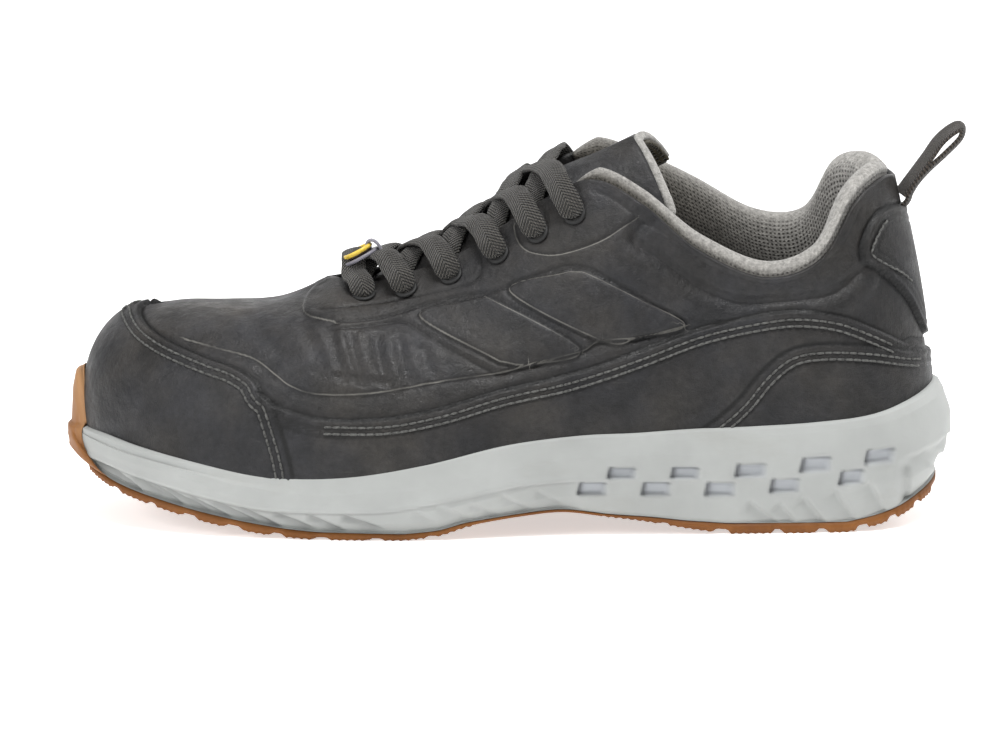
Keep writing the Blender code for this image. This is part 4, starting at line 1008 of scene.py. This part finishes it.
# Shares of the sole's length where the mesh starts to turn paler, and how long it takes
SHADE_START, SHADE_LENGTH = 0.62, 0.26
COLLAR_SECTION = [
    (0.55, 0.0, 0.0), (0.80, 0.0, 0.0), (0.985, 0.0, 0.02), (1.0, -0.02, 0.38), (1.0, 0.30, 0.66),
    (1.0, 0.72, 0.52), (0.99, 1.02, 0.0), (0.86, 1.08, 0.0), (0.72, 0.85, 0.0), (0.55, 0.25, 0.0),
]


def make_collar():
    """The padded mesh collar, thinner towards its front ends."""
    rows = even_rows(COLLAR_START, ROUND - COLLAR_START, COLLAR_SPACING)
    ends = np.minimum(rows - COLLAR_START, ROUND - COLLAR_START - rows)
    full = 0.12 + 0.88 * np.clip(ends / COLLAR_TAPER, 0, 1)
    knots = []
    for share, inward, rise in COLLAR_SECTION:
        knot = skin(rows, share, -(WALL + 2 * FIT_GAP + COLLAR_PAD * inward * full))
        knot[:, 2] += COLLAR_PAD * rise * np.minimum(0.3 + 1.4 * ends, 1.0)
        knots.append(knot)
    knots = np.array(knots).reshape(len(knots), -1)
    places = np.arange(len(knots) * COLLAR_FINENESS) / COLLAR_FINENESS
    rings = np.array([around(knots, at).reshape(-1, 3) for at in places]).transpose(1, 0, 2)
    run = run_along(rings[:, 5 * COLLAR_FINENESS])
    turn = run_along(rings[len(rings) // 2])
    values = {
        "along": 1000 * run[:, None] + 0 * turn,
        "across": 1000 * turn + 0 * run[:, None],
        "roll": trough(places - 4.0, 1.5) + 0 * run[:, None],
        "shade": np.clip((rings[..., 0] / SOLE_LENGTH - SHADE_START) / SHADE_LENGTH, 0, 1),
    }
    return loft("collar_pad", rings, **values)


# The tongue from the toe end up, as in the CAD. x, z: its middle line, in shares of the sole's length
# and the instep's height. In shares of half the ball width: half, how wide it is to each side; drop
# and back, how far its edges fall and lean back; twist, how much higher its inner edge stands.
Tongue = namedtuple("Tongue", "x z half drop back twist")
TONGUE = [
    Tongue(0.268, 0.600, 0.32, 0.11, 0.00, 0.00),
    Tongue(0.318, 0.655, 0.33, 0.14, 0.00, 0.00),
    Tongue(0.360, 0.722, 0.33, 0.22, 0.00, 0.00),
    Tongue(0.410, 0.795, 0.35, 0.32, 0.00, 0.00),
    Tongue(0.467, 0.870, 0.36, 0.35, 0.00, 0.00),
    Tongue(0.512, 0.950, 0.37, 0.32, 0.01, 0.00),
    Tongue(0.551, 1.018, 0.35, 0.28, 0.03, 0.02),
    Tongue(0.600, 1.072, 0.32, 0.29, 0.10, 0.07),
    Tongue(0.644, 1.124, 0.33, 0.31, 0.215, 0.135),
]
TONGUE_THICKNESS = 0.0032
TONGUE_CURVES = {}
for name in Tongue._fields:
    TONGUE_CURVES[name] = Curve([(i, getattr(row, name)) for i, row in enumerate(TONGUE)])


def tongue_point(place, across):
    """Points on the tongue's upper face: place 0 to 1 up its length, across -1 to 1."""
    place, across = np.broadcast_arrays(np.asarray(place, float), np.asarray(across, float))
    value = {name: curve(place * (len(TONGUE) - 1)) for name, curve in TONGUE_CURVES.items()}
    side = np.abs(across)
    x = SOLE_LENGTH * value["x"] + HALF_BALL * value["back"] * side**1.4
    y = HALF_BALL * value["half"] * across
    z = INSTEP_HEIGHT * value["z"] - HALF_BALL * (value["drop"] * side**2.1 - value["twist"] * across)
    return np.stack([x, y, z], -1)


def tongue_skin(place, across, distance):
    place, across = np.broadcast_arrays(np.asarray(place, float), np.asarray(across, float))
    low, high = np.maximum(place - SHARE_STEP, 0.0), np.minimum(place + SHARE_STEP, 1.0)
    run = tongue_point(high, across) - tongue_point(low, across)
    side = tongue_point(place, across + SHARE_STEP) - tongue_point(place, across - SHARE_STEP)
    return tongue_point(place, across) + np.asarray(distance)[..., None] * unit(np.cross(run, side))


SHEET_ROUNDING = 60
TONGUE_HALF_MM = 24.0


def tongue_sheet(name, first, last, middle, thickness, width=1.0, centre=0.0):
    """A padded sheet that follows the tongue, its edges rounded over."""
    places = span(first, last, 120)
    flat = round_section(2.0 * width, 1.0, 64, 0.55)
    flat[:, 0] += centre
    ends = np.minimum(places - first, last - places) * SHEET_ROUNDING
    puff = rounded(ends)
    crown = 1 + 0.25 * (1 - flat[:, 0] ** 2)
    height = middle + thickness * flat[:, 1] * crown * puff[:, None]
    rings = tongue_skin(places[:, None], np.clip(flat[:, 0], -1.06, 1.06)[None], height)
    length = 1000 * np.linalg.norm(np.gradient(tongue_point(places, 0.0), axis=0), axis=1).cumsum()
    values = {"along": length[:, None] + 0 * height, "across": TONGUE_HALF_MM * flat[:, 0] + 0 * height}
    return loft(name, rings, roll=0 * height, shade=0 * height, **values)


# Mesh that shows between the laces: from and to which place up the tongue, and where across it
THROAT_PATCHES = [(0.537, 0.570, -0.80), (0.657, 0.690, -0.80), (0.537, 0.570, 0.80), (0.657, 0.690, 0.80)]


def make_throat_patches():
    """Pale mesh that shows between the laces at the tongue's sides."""
    sheets = [tongue_sheet("patch", *ends, 0.0009, 0.0012, 0.19, centre) for *ends, centre in THROAT_PATCHES]
    return join("throat_mesh", sheets)


def make_tongue_binding():
    """Knitted binding up the tongue's outer side and over its top edge."""
    side, across = span(0.62, 0.99, 40), span(-1, 0.94, 68)[1:]
    places = np.concatenate([side, np.full(len(across), 0.995)])
    shares = np.concatenate([np.full(len(side), -1.0), across])
    path = resample(tongue_skin(places, shares, np.full(len(places), -TONGUE_THICKNESS / 2))[::3], 0.0006)
    rings, values = swept(path, [-0.75, 0.0, 0.65], round_section(0.0024, 0.0034, 16, 0.8))
    whole = np.ones(rings.shape[:2])
    return loft("tongue_binding", rings, roll=whole, shade=whole, **values)


# Eyelets up the lacing, as (row, share) places; the inner side is the same
EYELETS = [(6.62, 0.880), (7.28, 0.905), (7.79, 0.905), (8.36, 0.895), (8.86, 0.880), (9.46, 0.885)]
EYELET_RADIUS = 0.0033
LACE_WIDTH, LACE_THICKNESS, LACE_ARCH = 0.0088, 0.0019, 0.00045
LACE_POINTED = 0.0045
# How much higher the second of two crossing runs lies
LACE_LIFT = 0.0011
# How high a lace runs over the tongue and over its straight line, and how far that bows up
LACE_CLEAR, LACE_RISE, LACE_BOW = 0.0026, 0.0022, 0.0035
PATH_STEP = 0.0006


def tongue_top(x, y):
    """Point of the tongue's upper face above a plan point."""
    low, high = 0.0, 1.0
    for _ in range(HALVINGS):
        place = (low + high) / 2
        across = np.clip(y / tongue_point(place, 1.0)[1], -1.0, 1.0)
        if tongue_point(place, across)[0] < x:
            low = place
        else:
            high = place
    return tongue_point(place, across)


def lace_leg(row, share, over, lift):
    """Places of a lace from its eyelet to the edge of the throat, or from under that edge."""
    if over:
        shares = [share - 0.012, share - 0.004, share + 0.35 * (0.995 - share), 0.995]
        heights = [-0.0008, 0.0019, 0.0042 + 0.4 * lift, 0.0040 + lift]
    else:
        shares, heights = [0.965, 0.985, 0.998], [-0.0042, -0.0034, -0.0012 + lift]
    rows = np.full(len(shares), row)
    return skin(rows, shares, heights), upper_normal(rows, shares)


def make_lace(name, first, last, over, lift):
    """One run of the lace; over says at which of its two ends it lies over the leather."""
    start, start_up = lace_leg(*first, over[0], lift)
    end, end_up = lace_leg(*last, over[1], lift)
    middle, middle_up = [], []
    for s in (0.2, 0.4, 0.6, 0.8):
        x, y = start[-1][:2] + s * (end[-1][:2] - start[-1][:2])
        straight = start[-1][2] + s * (end[-1][2] - start[-1][2])
        bowed = straight + LACE_RISE + LACE_BOW * math.sin(math.pi * s)
        z = max(tongue_top(x, y)[2] + LACE_CLEAR + lift, bowed)
        middle.append((x, y, z))
        middle_up.append(unit((1 - s) * start_up[-1] + s * end_up[-1] + np.array([0.0, 0.0, 0.6])))
    knots = np.concatenate([start, middle, end[::-1]])
    ups = np.concatenate([start_up, middle_up, end_up[::-1]])
    path = resample(knots, PATH_STEP)
    near = np.linalg.norm(path[:, None] - knots[None], axis=2) + 1e-4
    weights = 1 / near**3
    blended = unit((weights[..., None] * ups).sum(1) / weights.sum(1)[:, None])
    run = run_along(path)
    from_start, from_end = run, run[-1] - run
    tip = np.minimum(from_start + (not over[0]), from_end + (not over[1]))
    narrow = 0.50 + 0.50 * np.sin(np.clip(tip / LACE_POINTED, 0, 1) * math.pi / 2)
    sizes = np.stack([narrow, 1.25 - 0.25 * narrow], -1)
    section = round_section(LACE_WIDTH, LACE_THICKNESS, 20, 0.7) * sizes[:, None]
    section[..., 1] -= LACE_ARCH * (2 * section[..., 0] / LACE_WIDTH) ** 2
    rings, values = swept(path, blended, section)
    return loft(name, rings, **values)


def make_laces():
    """The lowest bar, and runs that go from under one side of the throat to over the other."""
    runs = [make_lace("lace_0", EYELETS[0], (-EYELETS[0][0], EYELETS[0][1]), (True, True), 0.0)]
    for i, (low, high) in enumerate(zip(EYELETS, EYELETS[1:])):
        for side, lift in ((-1, 0.0), (1, LACE_LIFT)):
            first, last = (side * high[0], high[1]), (-side * low[0], low[1])
            runs.append(make_lace(f"lace_{2 * i + 1 + (side + 1) // 2}", first, last, (True, False), lift))
    return join("laces_woven", runs)


def join(name, pieces):
    """One piece from several, their values kept."""
    mesh = bmesh.new()
    for piece in pieces:
        mesh.from_mesh(piece.data)
        bpy.data.objects.remove(piece)
    data = bpy.data.meshes.new(name)
    mesh.to_mesh(data)
    mesh.free()
    return add_object(name, data)


def oval(centre, along, across, count):
    """Points round an oval, from its middle and its two half axes."""
    angle = np.linspace(0, 2 * math.pi, count, endpoint=False)[:, None]
    return centre + np.cos(angle) * along + np.sin(angle) * across


def ring_piece(name, path, ups, *section):
    """A closed ring with a flat rounded section."""
    return loft(name, swept(path, ups, round_section(*section), True)[0], wrapped=True)


def make_eyelet_shadows():
    """Black rings under the laces' ends: painted shadow in the punched holes."""
    rings = []
    for row, share in EYELETS:
        for side in (1, -1):
            centre = skin(side * row, share - 0.006, 0.0006)
            normal = upper_normal(side * row, share)
            run = EYELET_RADIUS * unit(np.cross(normal, [0.0, 1.0, 0.0]))
            path = oval(centre, run, np.cross(normal, run), 28)
            rings.append(ring_piece("eyelet", path, normal, 0.0016, 0.0011, 8, 1.0))
    return join("eyelet_shadow_rings", rings)


TAG_LENGTH, TAG_WIDTH = 0.0135, 0.0110
TAG_SLOPE = math.radians(28)
# The tag's face, from its underside to its crown, as (share of its size, height)
TAG_FACE = [
    (0.2, -0.0008), (0.86, -0.0008), (0.90, -0.0003), (0.86, 0.0002), (0.55, 0.0005), (0.2, 0.00055),
]


def make_tag():
    """A small plastic tag on the lowest lace: a dark face in a yellow ring, on a grey clip."""
    low, high = (np.array(corner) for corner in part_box("lace_tag"))
    centre = (low + high) / 2 - SHIFT
    normal = np.array([-math.sin(TAG_SLOPE), 0.0, math.cos(TAG_SLOPE)])
    side = np.array([0.0, 1.0, 0.0])
    run = np.cross(side, normal)

    def level(long, wide, height):
        return oval(centre + height * normal, run * wide / 2, side * long / 2, 64)

    line = level(TAG_LENGTH - 0.0014, TAG_WIDTH - 0.0014, 0.0006)
    yellow = ring_piece("tag_ring", line, normal, 0.0014, 0.0015, 10, 0.9)
    face = loft("tag_face", [level(TAG_LENGTH * size, TAG_WIDTH * size, height) for size, height in TAG_FACE])
    line = level(TAG_LENGTH * 0.92, TAG_WIDTH * 1.05, -0.0017)
    clip = ring_piece("clip", line, normal, 0.0020, 0.0013, 10, 0.6)
    line = oval(centre + run * 0.0052 - side * 0.0015 - normal * 0.0016, run * 0.0022, normal * 0.0036, 40)
    hook = ring_piece("hook", line, side, 0.0011, 0.0034, 10, 0.7)
    return yellow, face, join("tag_clip", [clip, hook])


LOOP_LENGTH, LOOP_WIDTH, LOOP_THICKNESS, LOOP_TWIST = 0.032, 0.0105, 0.0017, 0.22
# The loop's middle line from the heel's top edge, in shares of LOOP_LENGTH; it ends tucked in
LOOP_LINE = [
    (0.026, -0.035), (0.172, 0.165), (0.318, 0.366), (0.422, 0.519), (0.534, 0.625), (0.640, 0.686),
    (0.682, 0.660), (0.656, 0.555), (0.506, 0.397), (0.334, 0.234), (0.214, 0.100), (0.134, -0.031),
    (0.106, -0.110), (0.035, -0.190),
]


def make_pull_loop():
    """The webbing loop at the heel, a little twisted."""
    start = upper_point(LAST_ROW, 0.93)
    knots = [(start[0] + LOOP_LENGTH * a, 0.0, start[2] + LOOP_LENGTH * b) for a, b in LOOP_LINE]
    path = resample(knots, 0.0005)
    run = unit(np.gradient(path, axis=0))
    ups = unit(np.cross(run, [0.0, 1.0, 0.0])) + np.array([0.0, -LOOP_TWIST, 0.0])
    rings, values = swept(path, ups, round_section(LOOP_WIDTH, LOOP_THICKNESS, 20, 0.55))
    return loft("heel_loop", rings, **values)


# Finishes


class Shader:
    """Short calls for wiring one material's nodes."""

    def __init__(self, name):
        self.material = bpy.data.materials.new(name)
        self.material.use_nodes = True
        self.tree = self.material.node_tree
        self.surface = self.tree.nodes["Principled BSDF"]
        self.place = self.tree.nodes.new("ShaderNodeTexCoord").outputs["Object"]

    def plug(self, socket, value):
        if isinstance(value, bpy.types.NodeSocket):
            self.tree.links.new(value, socket)
        elif isinstance(value, tuple) and len(value) == 3 and len(socket.default_value) == 4:
            socket.default_value = (*value, 1.0)
        else:
            socket.default_value = value

    def node(self, kind, inputs, output=0, **settings):
        """One of the outputs of a new node."""
        made = self.tree.nodes.new("ShaderNode" + kind)
        for key, value in settings.items():
            setattr(made, key, value)
        for key, value in inputs.items():
            self.plug(made.inputs[key], value)
        return made.outputs[output]

    def math(self, operation, a, b=0.0):
        return self.node("Math", {0: a, 1: b}, operation=operation)

    def times(self, a, b):
        return self.math("MULTIPLY", a, b)

    def noise(self, scale, detail=3.0, roughness=0.5, stretch=None):
        place = self.place
        if stretch:
            place = self.node("Mapping", {"Vector": place, "Scale": stretch})
        inputs = {"Vector": place, "Scale": scale, "Detail": detail, "Roughness": roughness}
        return self.node("TexNoise", inputs, "Fac")

    def cells(self, scale):
        """Distance to the edges of small cells."""
        inputs = {"Vector": self.place, "Scale": scale}
        return self.node("TexVoronoi", inputs, "Distance", feature="DISTANCE_TO_EDGE")

    def value(self, name):
        return self.node("Attribute", {}, "Fac", attribute_name=name)

    def span(self, value, low, high, to_low=0.0, to_high=1.0):
        return self.node("MapRange", dict(enumerate((value, low, high, to_low, to_high))))

    def mix(self, factor, a, b):
        return self.node("Mix", {0: factor, 6: a, 7: b}, 2, data_type="RGBA")

    def brighten(self, color, factor):
        return self.node("VectorMath", {0: color, "Scale": factor}, operation="SCALE")

    def bump(self, height, distance, strength=1.0, normal=None):
        inputs = {"Strength": strength, "Distance": distance, "Height": height}
        if normal is not None:
            inputs["Normal"] = normal
        return self.node("Bump", inputs)

    def finish(self, color, roughness, normal, **fixed):
        inputs = {"Base Color": color, "Roughness": roughness, "Normal": normal}
        for name, value in fixed.items():
            inputs[name.replace("_", " ")] = value
        for name, value in inputs.items():
            self.plug(self.surface.inputs[name], value)
        return self.material


def linear(red, green, blue):
    """Linear colour from screen values of 0 to 255."""
    values = []
    for v in (red, green, blue):
        v = v / 255
        values.append(v / 12.92 if v <= 0.04045 else ((v + 0.055) / 1.055) ** 2.4)
    return tuple(values)


LEATHER = linear(27, 27, 29)
LEATHER_WARM = linear(36, 34, 32)
# Pale grey of the scratches, and of the painted highlight along the raised edges
LEATHER_SCRATCH_AND_HIGHLIGHT = linear(126, 124, 118)
# Near black of the painted shadow and shade lines, and of the stitch rows
LEATHER_DARK = linear(5, 5, 5)
# Dark lines on the leather, painted shadow outside the overlays' edges (dark), painted shade in the grooves
# (soft) and the stitch rows (seam): their value, the distances where each is darkest and gone, its strength
DARK_LINES = [("dark", 0.35, 1.15, 0.95), ("soft", 0.2, 0.9, 0.45), ("seam", 0.4, 1.0, 0.45)]


def leather_finish(name, marked):
    """Oiled black leather: fine pores, soft clouds of brown grey and pale scratches; where marked, a painted
    highlight along its raised edges, and painted shade in its grooves and just outside its overlays' edges.
    """
    s = Shader(name)
    clouds = s.noise(34.0, 5.0, 0.62)
    fine = s.noise(420.0, 3.0, 0.6)
    color = s.mix(s.span(clouds, 0.38, 0.66), LEATHER, LEATHER_WARM)
    color = s.brighten(color, s.span(fine, 0.3, 0.7, 0.76, 1.24))
    color = s.brighten(color, s.span(s.noise(75.0, 5.0, 0.65), 0.3, 0.72, 0.62, 1.60))
    color = s.brighten(color, s.span(s.noise(22.0, 3.0, 0.6), 0.35, 0.68, 0.84, 1.18))
    scratches = s.noise(260.0, 2.0, 0.7, stretch=(0.25, 1.0, 1.6))
    if marked:
        # Lighter and darker clouds: scuffs, and painted light on the top of the toe
        color = s.brighten(color, s.value("tone"))
        # Darker along the lines: painted shadow and painted shade, and the dark stitch rows
        for name, low, high, share in DARK_LINES:
            near = s.span(s.math("ABSOLUTE", s.value(name)), low, high, share, 0.0)
            color = s.mix(s.times(near, s.value(name + "_on")), color, LEATHER_DARK)
        # Painted highlight along the raised edges, broken up by noise
        light = s.span(s.math("ABSOLUTE", s.value("light")), 0.10, 0.30, 1.0, 0.0)
        broken = s.span(s.noise(55.0, 3.0, 0.6), 0.36, 0.62, 0.05, 0.60)
        light = s.times(s.times(light, broken), s.value("light_on"))
        color = s.mix(light, color, LEATHER_SCRATCH_AND_HIGHLIGHT)
    marks = s.span(scratches, 0.72, 0.82, 0.0, 0.10)
    color = s.mix(marks, color, LEATHER_SCRATCH_AND_HIGHLIGHT)
    rough = s.span(s.noise(120.0, 3.0, 0.6), 0.3, 0.7, 0.36, 0.56)
    normal = s.bump(s.span(s.cells(1500.0), 0.0, 0.12), 0.00010, 0.5)
    normal = s.bump(s.noise(900.0, 2.0, 0.5), 0.00022, 0.5, normal)
    normal = s.bump(s.noise(150.0, 4.0, 0.6), 0.0014, 0.6, normal)
    return s.finish(color, rough, normal, Specular_IOR_Level=0.28)


def foam_finish(name):
    """Moulded midsole foam: smooth, faintly mottled, with painted light on the floors of its sunk blocks and
    painted shade on their walls, in its folds and along its crease.
    """
    s = Shader(name)
    tint = s.span(s.noise(26.0, 4.0, 0.6), 0.35, 0.68)
    color = s.mix(tint, linear(152, 154, 152), linear(141, 143, 141))
    smudge = s.span(s.noise(45.0, 5.0, 0.65, stretch=(0.5, 1.0, 1.5)), 0.55, 0.75, 0.0, 0.30)
    color = s.mix(smudge, color, linear(132, 132, 126))
    # Painted light, paler and bluish, on the floors of the sunk blocks
    color = s.mix(s.times(s.value("sunk"), 0.5), color, linear(166, 170, 178))
    # Painted shade on the blocks' walls, in the folds and along the crease
    color = s.mix(s.times(s.value("reveal"), 0.75), color, linear(62, 62, 64))
    normal = s.bump(s.noise(900.0, 3.0, 0.6), 0.00012, 0.5)
    normal = s.bump(s.noise(90.0, 2.0, 0.5), 0.0004, 0.2, normal)
    rough = s.span(s.noise(60.0, 2.0, 0.5), 0.3, 0.7, 0.48, 0.62)
    return s.finish(color, rough, normal, Specular_IOR_Level=0.35)


def gum_finish(name, pale=False):
    """Gum rubber; the guard's is paler towards its top."""
    s = Shader(name)
    tint = s.span(s.noise(30.0, 4.0, 0.6), 0.35, 0.68)
    color = s.mix(tint, linear(122, 77, 36), linear(102, 61, 27))
    color = s.mix(s.span(s.noise(300.0, 3.0, 0.7), 0.55, 0.8, 0.0, 0.3), color, linear(88, 46, 20))
    if pale:
        color = s.mix(s.span(s.value("height"), 0.35, 0.98, 0.1, 0.65), color, linear(166, 130, 94))
    normal = s.bump(s.noise(700.0, 3.0, 0.6), 0.00015, 0.5)
    return s.finish(color, 0.55, normal, Specular_IOR_Level=0.22)


HOLE_TURNS = 2.05


def mesh_finish(name, light, dark, brown):
    """Spacer mesh: staggered rows of small holes in a knit, closer and fuzzier over the roll."""
    s = Shader(name)
    along, across = s.value("along"), s.value("across")
    skewed = s.times(s.math("ADD", along, across), HOLE_TURNS)
    other = s.times(s.math("SUBTRACT", along, across), HOLE_TURNS)
    grid = s.times(s.math("SINE", skewed), s.math("SINE", other))
    knit = s.noise(1900.0, 3.0, 0.7)
    fuzz = s.noise(620.0, 3.0, 0.7)
    open_part = s.span(grid, 0.15, 0.75)
    hole = s.times(open_part, s.span(s.value("roll"), 0.0, 0.5, 1.0, 0.12))
    ground = s.mix(s.value("shade"), brown, light)
    ground = s.mix(s.value("roll"), ground, light)
    color = s.mix(hole, ground, dark)
    color = s.brighten(color, s.span(knit, 0.3, 0.7, 0.82, 1.12))
    color = s.brighten(color, s.span(fuzz, 0.3, 0.7, 0.60, 1.22))
    normal = s.bump(s.times(hole, -1.0), 0.0006, 0.9)
    normal = s.bump(fuzz, 0.0010, 0.6, normal)
    normal = s.bump(knit, 0.0003, 0.5, normal)
    return s.finish(color, 0.9, normal, Sheen_Weight=0.2, Sheen_Roughness=0.5, Specular_IOR_Level=0.2)


def cord_finish(name, light, dark, pitch=5.2, lean=0.9):
    """Flat weave: fine ribs leaning both ways from the middle line, with lighter flecks."""
    s = Shader(name)
    along, across = s.value("along"), s.value("across")
    slope = s.times(s.math("ABSOLUTE", across), lean)
    rib = s.math("SINE", s.times(s.math("ADD", along, slope), pitch))
    strand = s.math("SINE", s.times(across, 8.0))
    weave = s.math("ADD", s.times(rib, 0.65), s.times(strand, 0.35))
    color = s.mix(s.span(weave, -0.6, 0.8), dark, light)
    color = s.brighten(color, s.span(s.noise(1500.0, 2.0, 0.6), 0.32, 0.68, 0.55, 1.5))
    normal = s.bump(weave, 0.00045, 1.0)
    return s.finish(color, 0.85, normal, Sheen_Weight=0.15, Sheen_Roughness=0.5, Specular_IOR_Level=0.25)


def plain_finish(name, color, roughness, bump=0.0002, spread=0.12):
    s = Shader(name)
    shade = s.brighten(color, s.span(s.noise(900.0, 3.0, 0.6), 0.3, 0.7, 1 - spread, 1 + spread))
    normal = s.bump(s.noise(900.0, 2.0, 0.5), bump, 0.4)
    return s.finish(shade, roughness, normal, Specular_IOR_Level=0.35)


def coat(piece, finish):
    piece.data.materials.clear()
    piece.data.materials.append(finish)


def wear(piece, finish, slot, *nodes):
    """Gives a piece its finish, hangs it under the root and hides the CAD parts that it stands for."""
    coat(piece, finish)
    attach(piece, "root")
    if nodes:
        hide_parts(*nodes)


# Light, floor and camera


FLOOR_SIZE, FLOOR_BACK, FLOOR_BEND, FLOOR_TOP = 3.0, 1.6, 0.8, 2.4
WHITE = (1.0, 1.0, 1.0, 1.0)
FLOOR_WHITE, FLOOR_GLOW = (0.95, 0.95, 0.95), 0.55
WORLD_LIGHT = 0.42
LAMPS = [
    ("overhead", (0.15, -0.30, 1.2), (0.0, 0.0, 0.05), 0.6, 17.0),
    ("front_left", (-1.0, -0.8, 0.7), (-0.05, 0.0, 0.05), 0.5, 8.0),
    ("right_rear", (1.1, 0.4, 0.8), (0.05, 0.0, 0.06), 0.6, 7.0),
]


def make_stage():
    """A white floor that bends up behind the shoe, and an even white surrounding light."""
    data = bpy.data.meshes.new("floor")
    points, faces = [], []
    profile = [(-FLOOR_SIZE, 0.0), (FLOOR_BACK, 0.0)]
    for angle in np.radians(span(0, 90, 10)[1:]):
        profile.append((FLOOR_BACK + FLOOR_BEND * math.sin(angle), FLOOR_BEND - FLOOR_BEND * math.cos(angle)))
    profile.append((FLOOR_BACK + FLOOR_BEND, FLOOR_TOP))
    for y, z in profile:
        points += [(-FLOOR_SIZE, y, z), (FLOOR_SIZE, y, z)]
    for i in range(len(profile) - 1):
        faces.append((2 * i, 2 * i + 1, 2 * i + 3, 2 * i + 2))
    data.from_pydata(points, [], faces)
    data.polygons.foreach_set("use_smooth", [True] * len(data.polygons))
    floor = add_object("floor", data)
    s = Shader("floor_white")
    normal = s.bump(s.noise(40.0), 0.0002, 0.1)
    coat(floor, s.finish(FLOOR_WHITE, 0.95, normal, Emission_Color=WHITE, Emission_Strength=FLOOR_GLOW))
    world = bpy.data.worlds.new("studio")
    world.use_nodes = True
    light = world.node_tree.nodes["Background"]
    light.inputs["Color"].default_value = WHITE
    light.inputs["Strength"].default_value = WORLD_LIGHT
    bpy.context.scene.world = world
    bpy.context.scene.view_settings.view_transform = "Standard"


def make_lamps():
    for name, place, aim, size, power in LAMPS:
        data = bpy.data.lights.new(name, "AREA")
        data.size = size
        data.energy = power
        lamp = add_object(name, data)
        lamp.location = place
        lamp.rotation_euler = (Vector(aim) - Vector(place)).to_track_quat("-Z", "Y").to_euler()


def make_camera():
    data = bpy.data.cameras.new("picture_camera")
    data.sensor_width = 36.0
    data.lens = data.sensor_width * PIXELS_PER_METRE * EYE_DISTANCE / PICTURE[0]
    camera = add_object("picture_camera", data)
    aim = Vector(AIM + SHIFT)
    camera.location = aim + EYE_DISTANCE * Vector((0.0, -math.cos(EYE_RISE), math.sin(EYE_RISE)))
    camera.rotation_euler = (math.pi / 2 - EYE_RISE, 0.0, 0.0)
    bpy.context.scene.camera = camera


make_stage()
make_lamps()
make_camera()

leather = leather_finish("leather_black", True)
plain_leather = leather_finish("leather_plain", False)
gum = gum_finish("gum")
collar_mesh = mesh_finish("mesh_grey", linear(150, 148, 144), linear(50, 46, 40), linear(66, 60, 48))
olive_mesh = mesh_finish("mesh_olive", linear(66, 60, 44), linear(26, 23, 16), linear(60, 54, 38))
cord = cord_finish("cord_black", linear(78, 75, 70), linear(12, 12, 12))

overlays = ("toe_cap", "outer_rand", "inner_rand", "heel_counter", "heel_tab")
wear(make_upper(), leather, "black_leather", "upper", *overlays)
wear(make_stitches(), plain_finish("thread", linear(72, 72, 70), 0.7, spread=0.6), "black_cord")
wear(make_midsole(), foam_finish("foam_grey"), "grey_foam", "midsole")
wear(make_outsole(), gum, "gum_rubber", "outsole")
wear(make_toe_guard(), gum_finish("gum_guard", True), "gum_rubber", "toe_guard")
collar = make_collar()
wear(collar, collar_mesh, "grey_mesh", "collar_lining")
tongue = tongue_sheet("tongue_leather", 0.0, 0.992, -TONGUE_THICKNESS / 2, TONGUE_THICKNESS, 0.99)
wear(tongue, plain_leather, "black_leather", "tongue")
lining = tongue_sheet("tongue_lining", 0.62, 1.0, -0.0038, 0.0022, 0.93)
wear(lining, olive_mesh, "grey_mesh")
wear(make_tongue_binding(), collar_mesh, "grey_mesh")
silver_mesh = mesh_finish("mesh_silver", linear(176, 176, 172), linear(96, 96, 92), linear(176, 176, 172))
wear(make_throat_patches(), silver_mesh, "grey_mesh")
wear(make_laces(), cord, "black_cord", "laces")
# Black rings at the eyelets: painted shadow in the punched holes
wear(make_eyelet_shadows(), plain_finish("eyelet_shadow", linear(18, 18, 18), 0.6), "black_leather")
ring, face, clip = make_tag()
wear(ring, plain_finish("tag_yellow", linear(206, 176, 66), 0.35), "tag_plastic", "lace_tag")
wear(face, plain_finish("tag_brown", linear(52, 40, 28), 0.4), "tag_plastic")
wear(clip, plain_finish("tag_grey", linear(112, 110, 118), 0.4), "tag_plastic")
webbing = cord_finish("webbing", linear(64, 56, 48), linear(12, 10, 9), 4.6, 1.3)
wear(make_pull_loop(), webbing, "black_cord", "pull_loop")
coat(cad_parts["insole"], plain_finish("insole_dark", linear(48, 48, 48), 0.9, 0.0006))
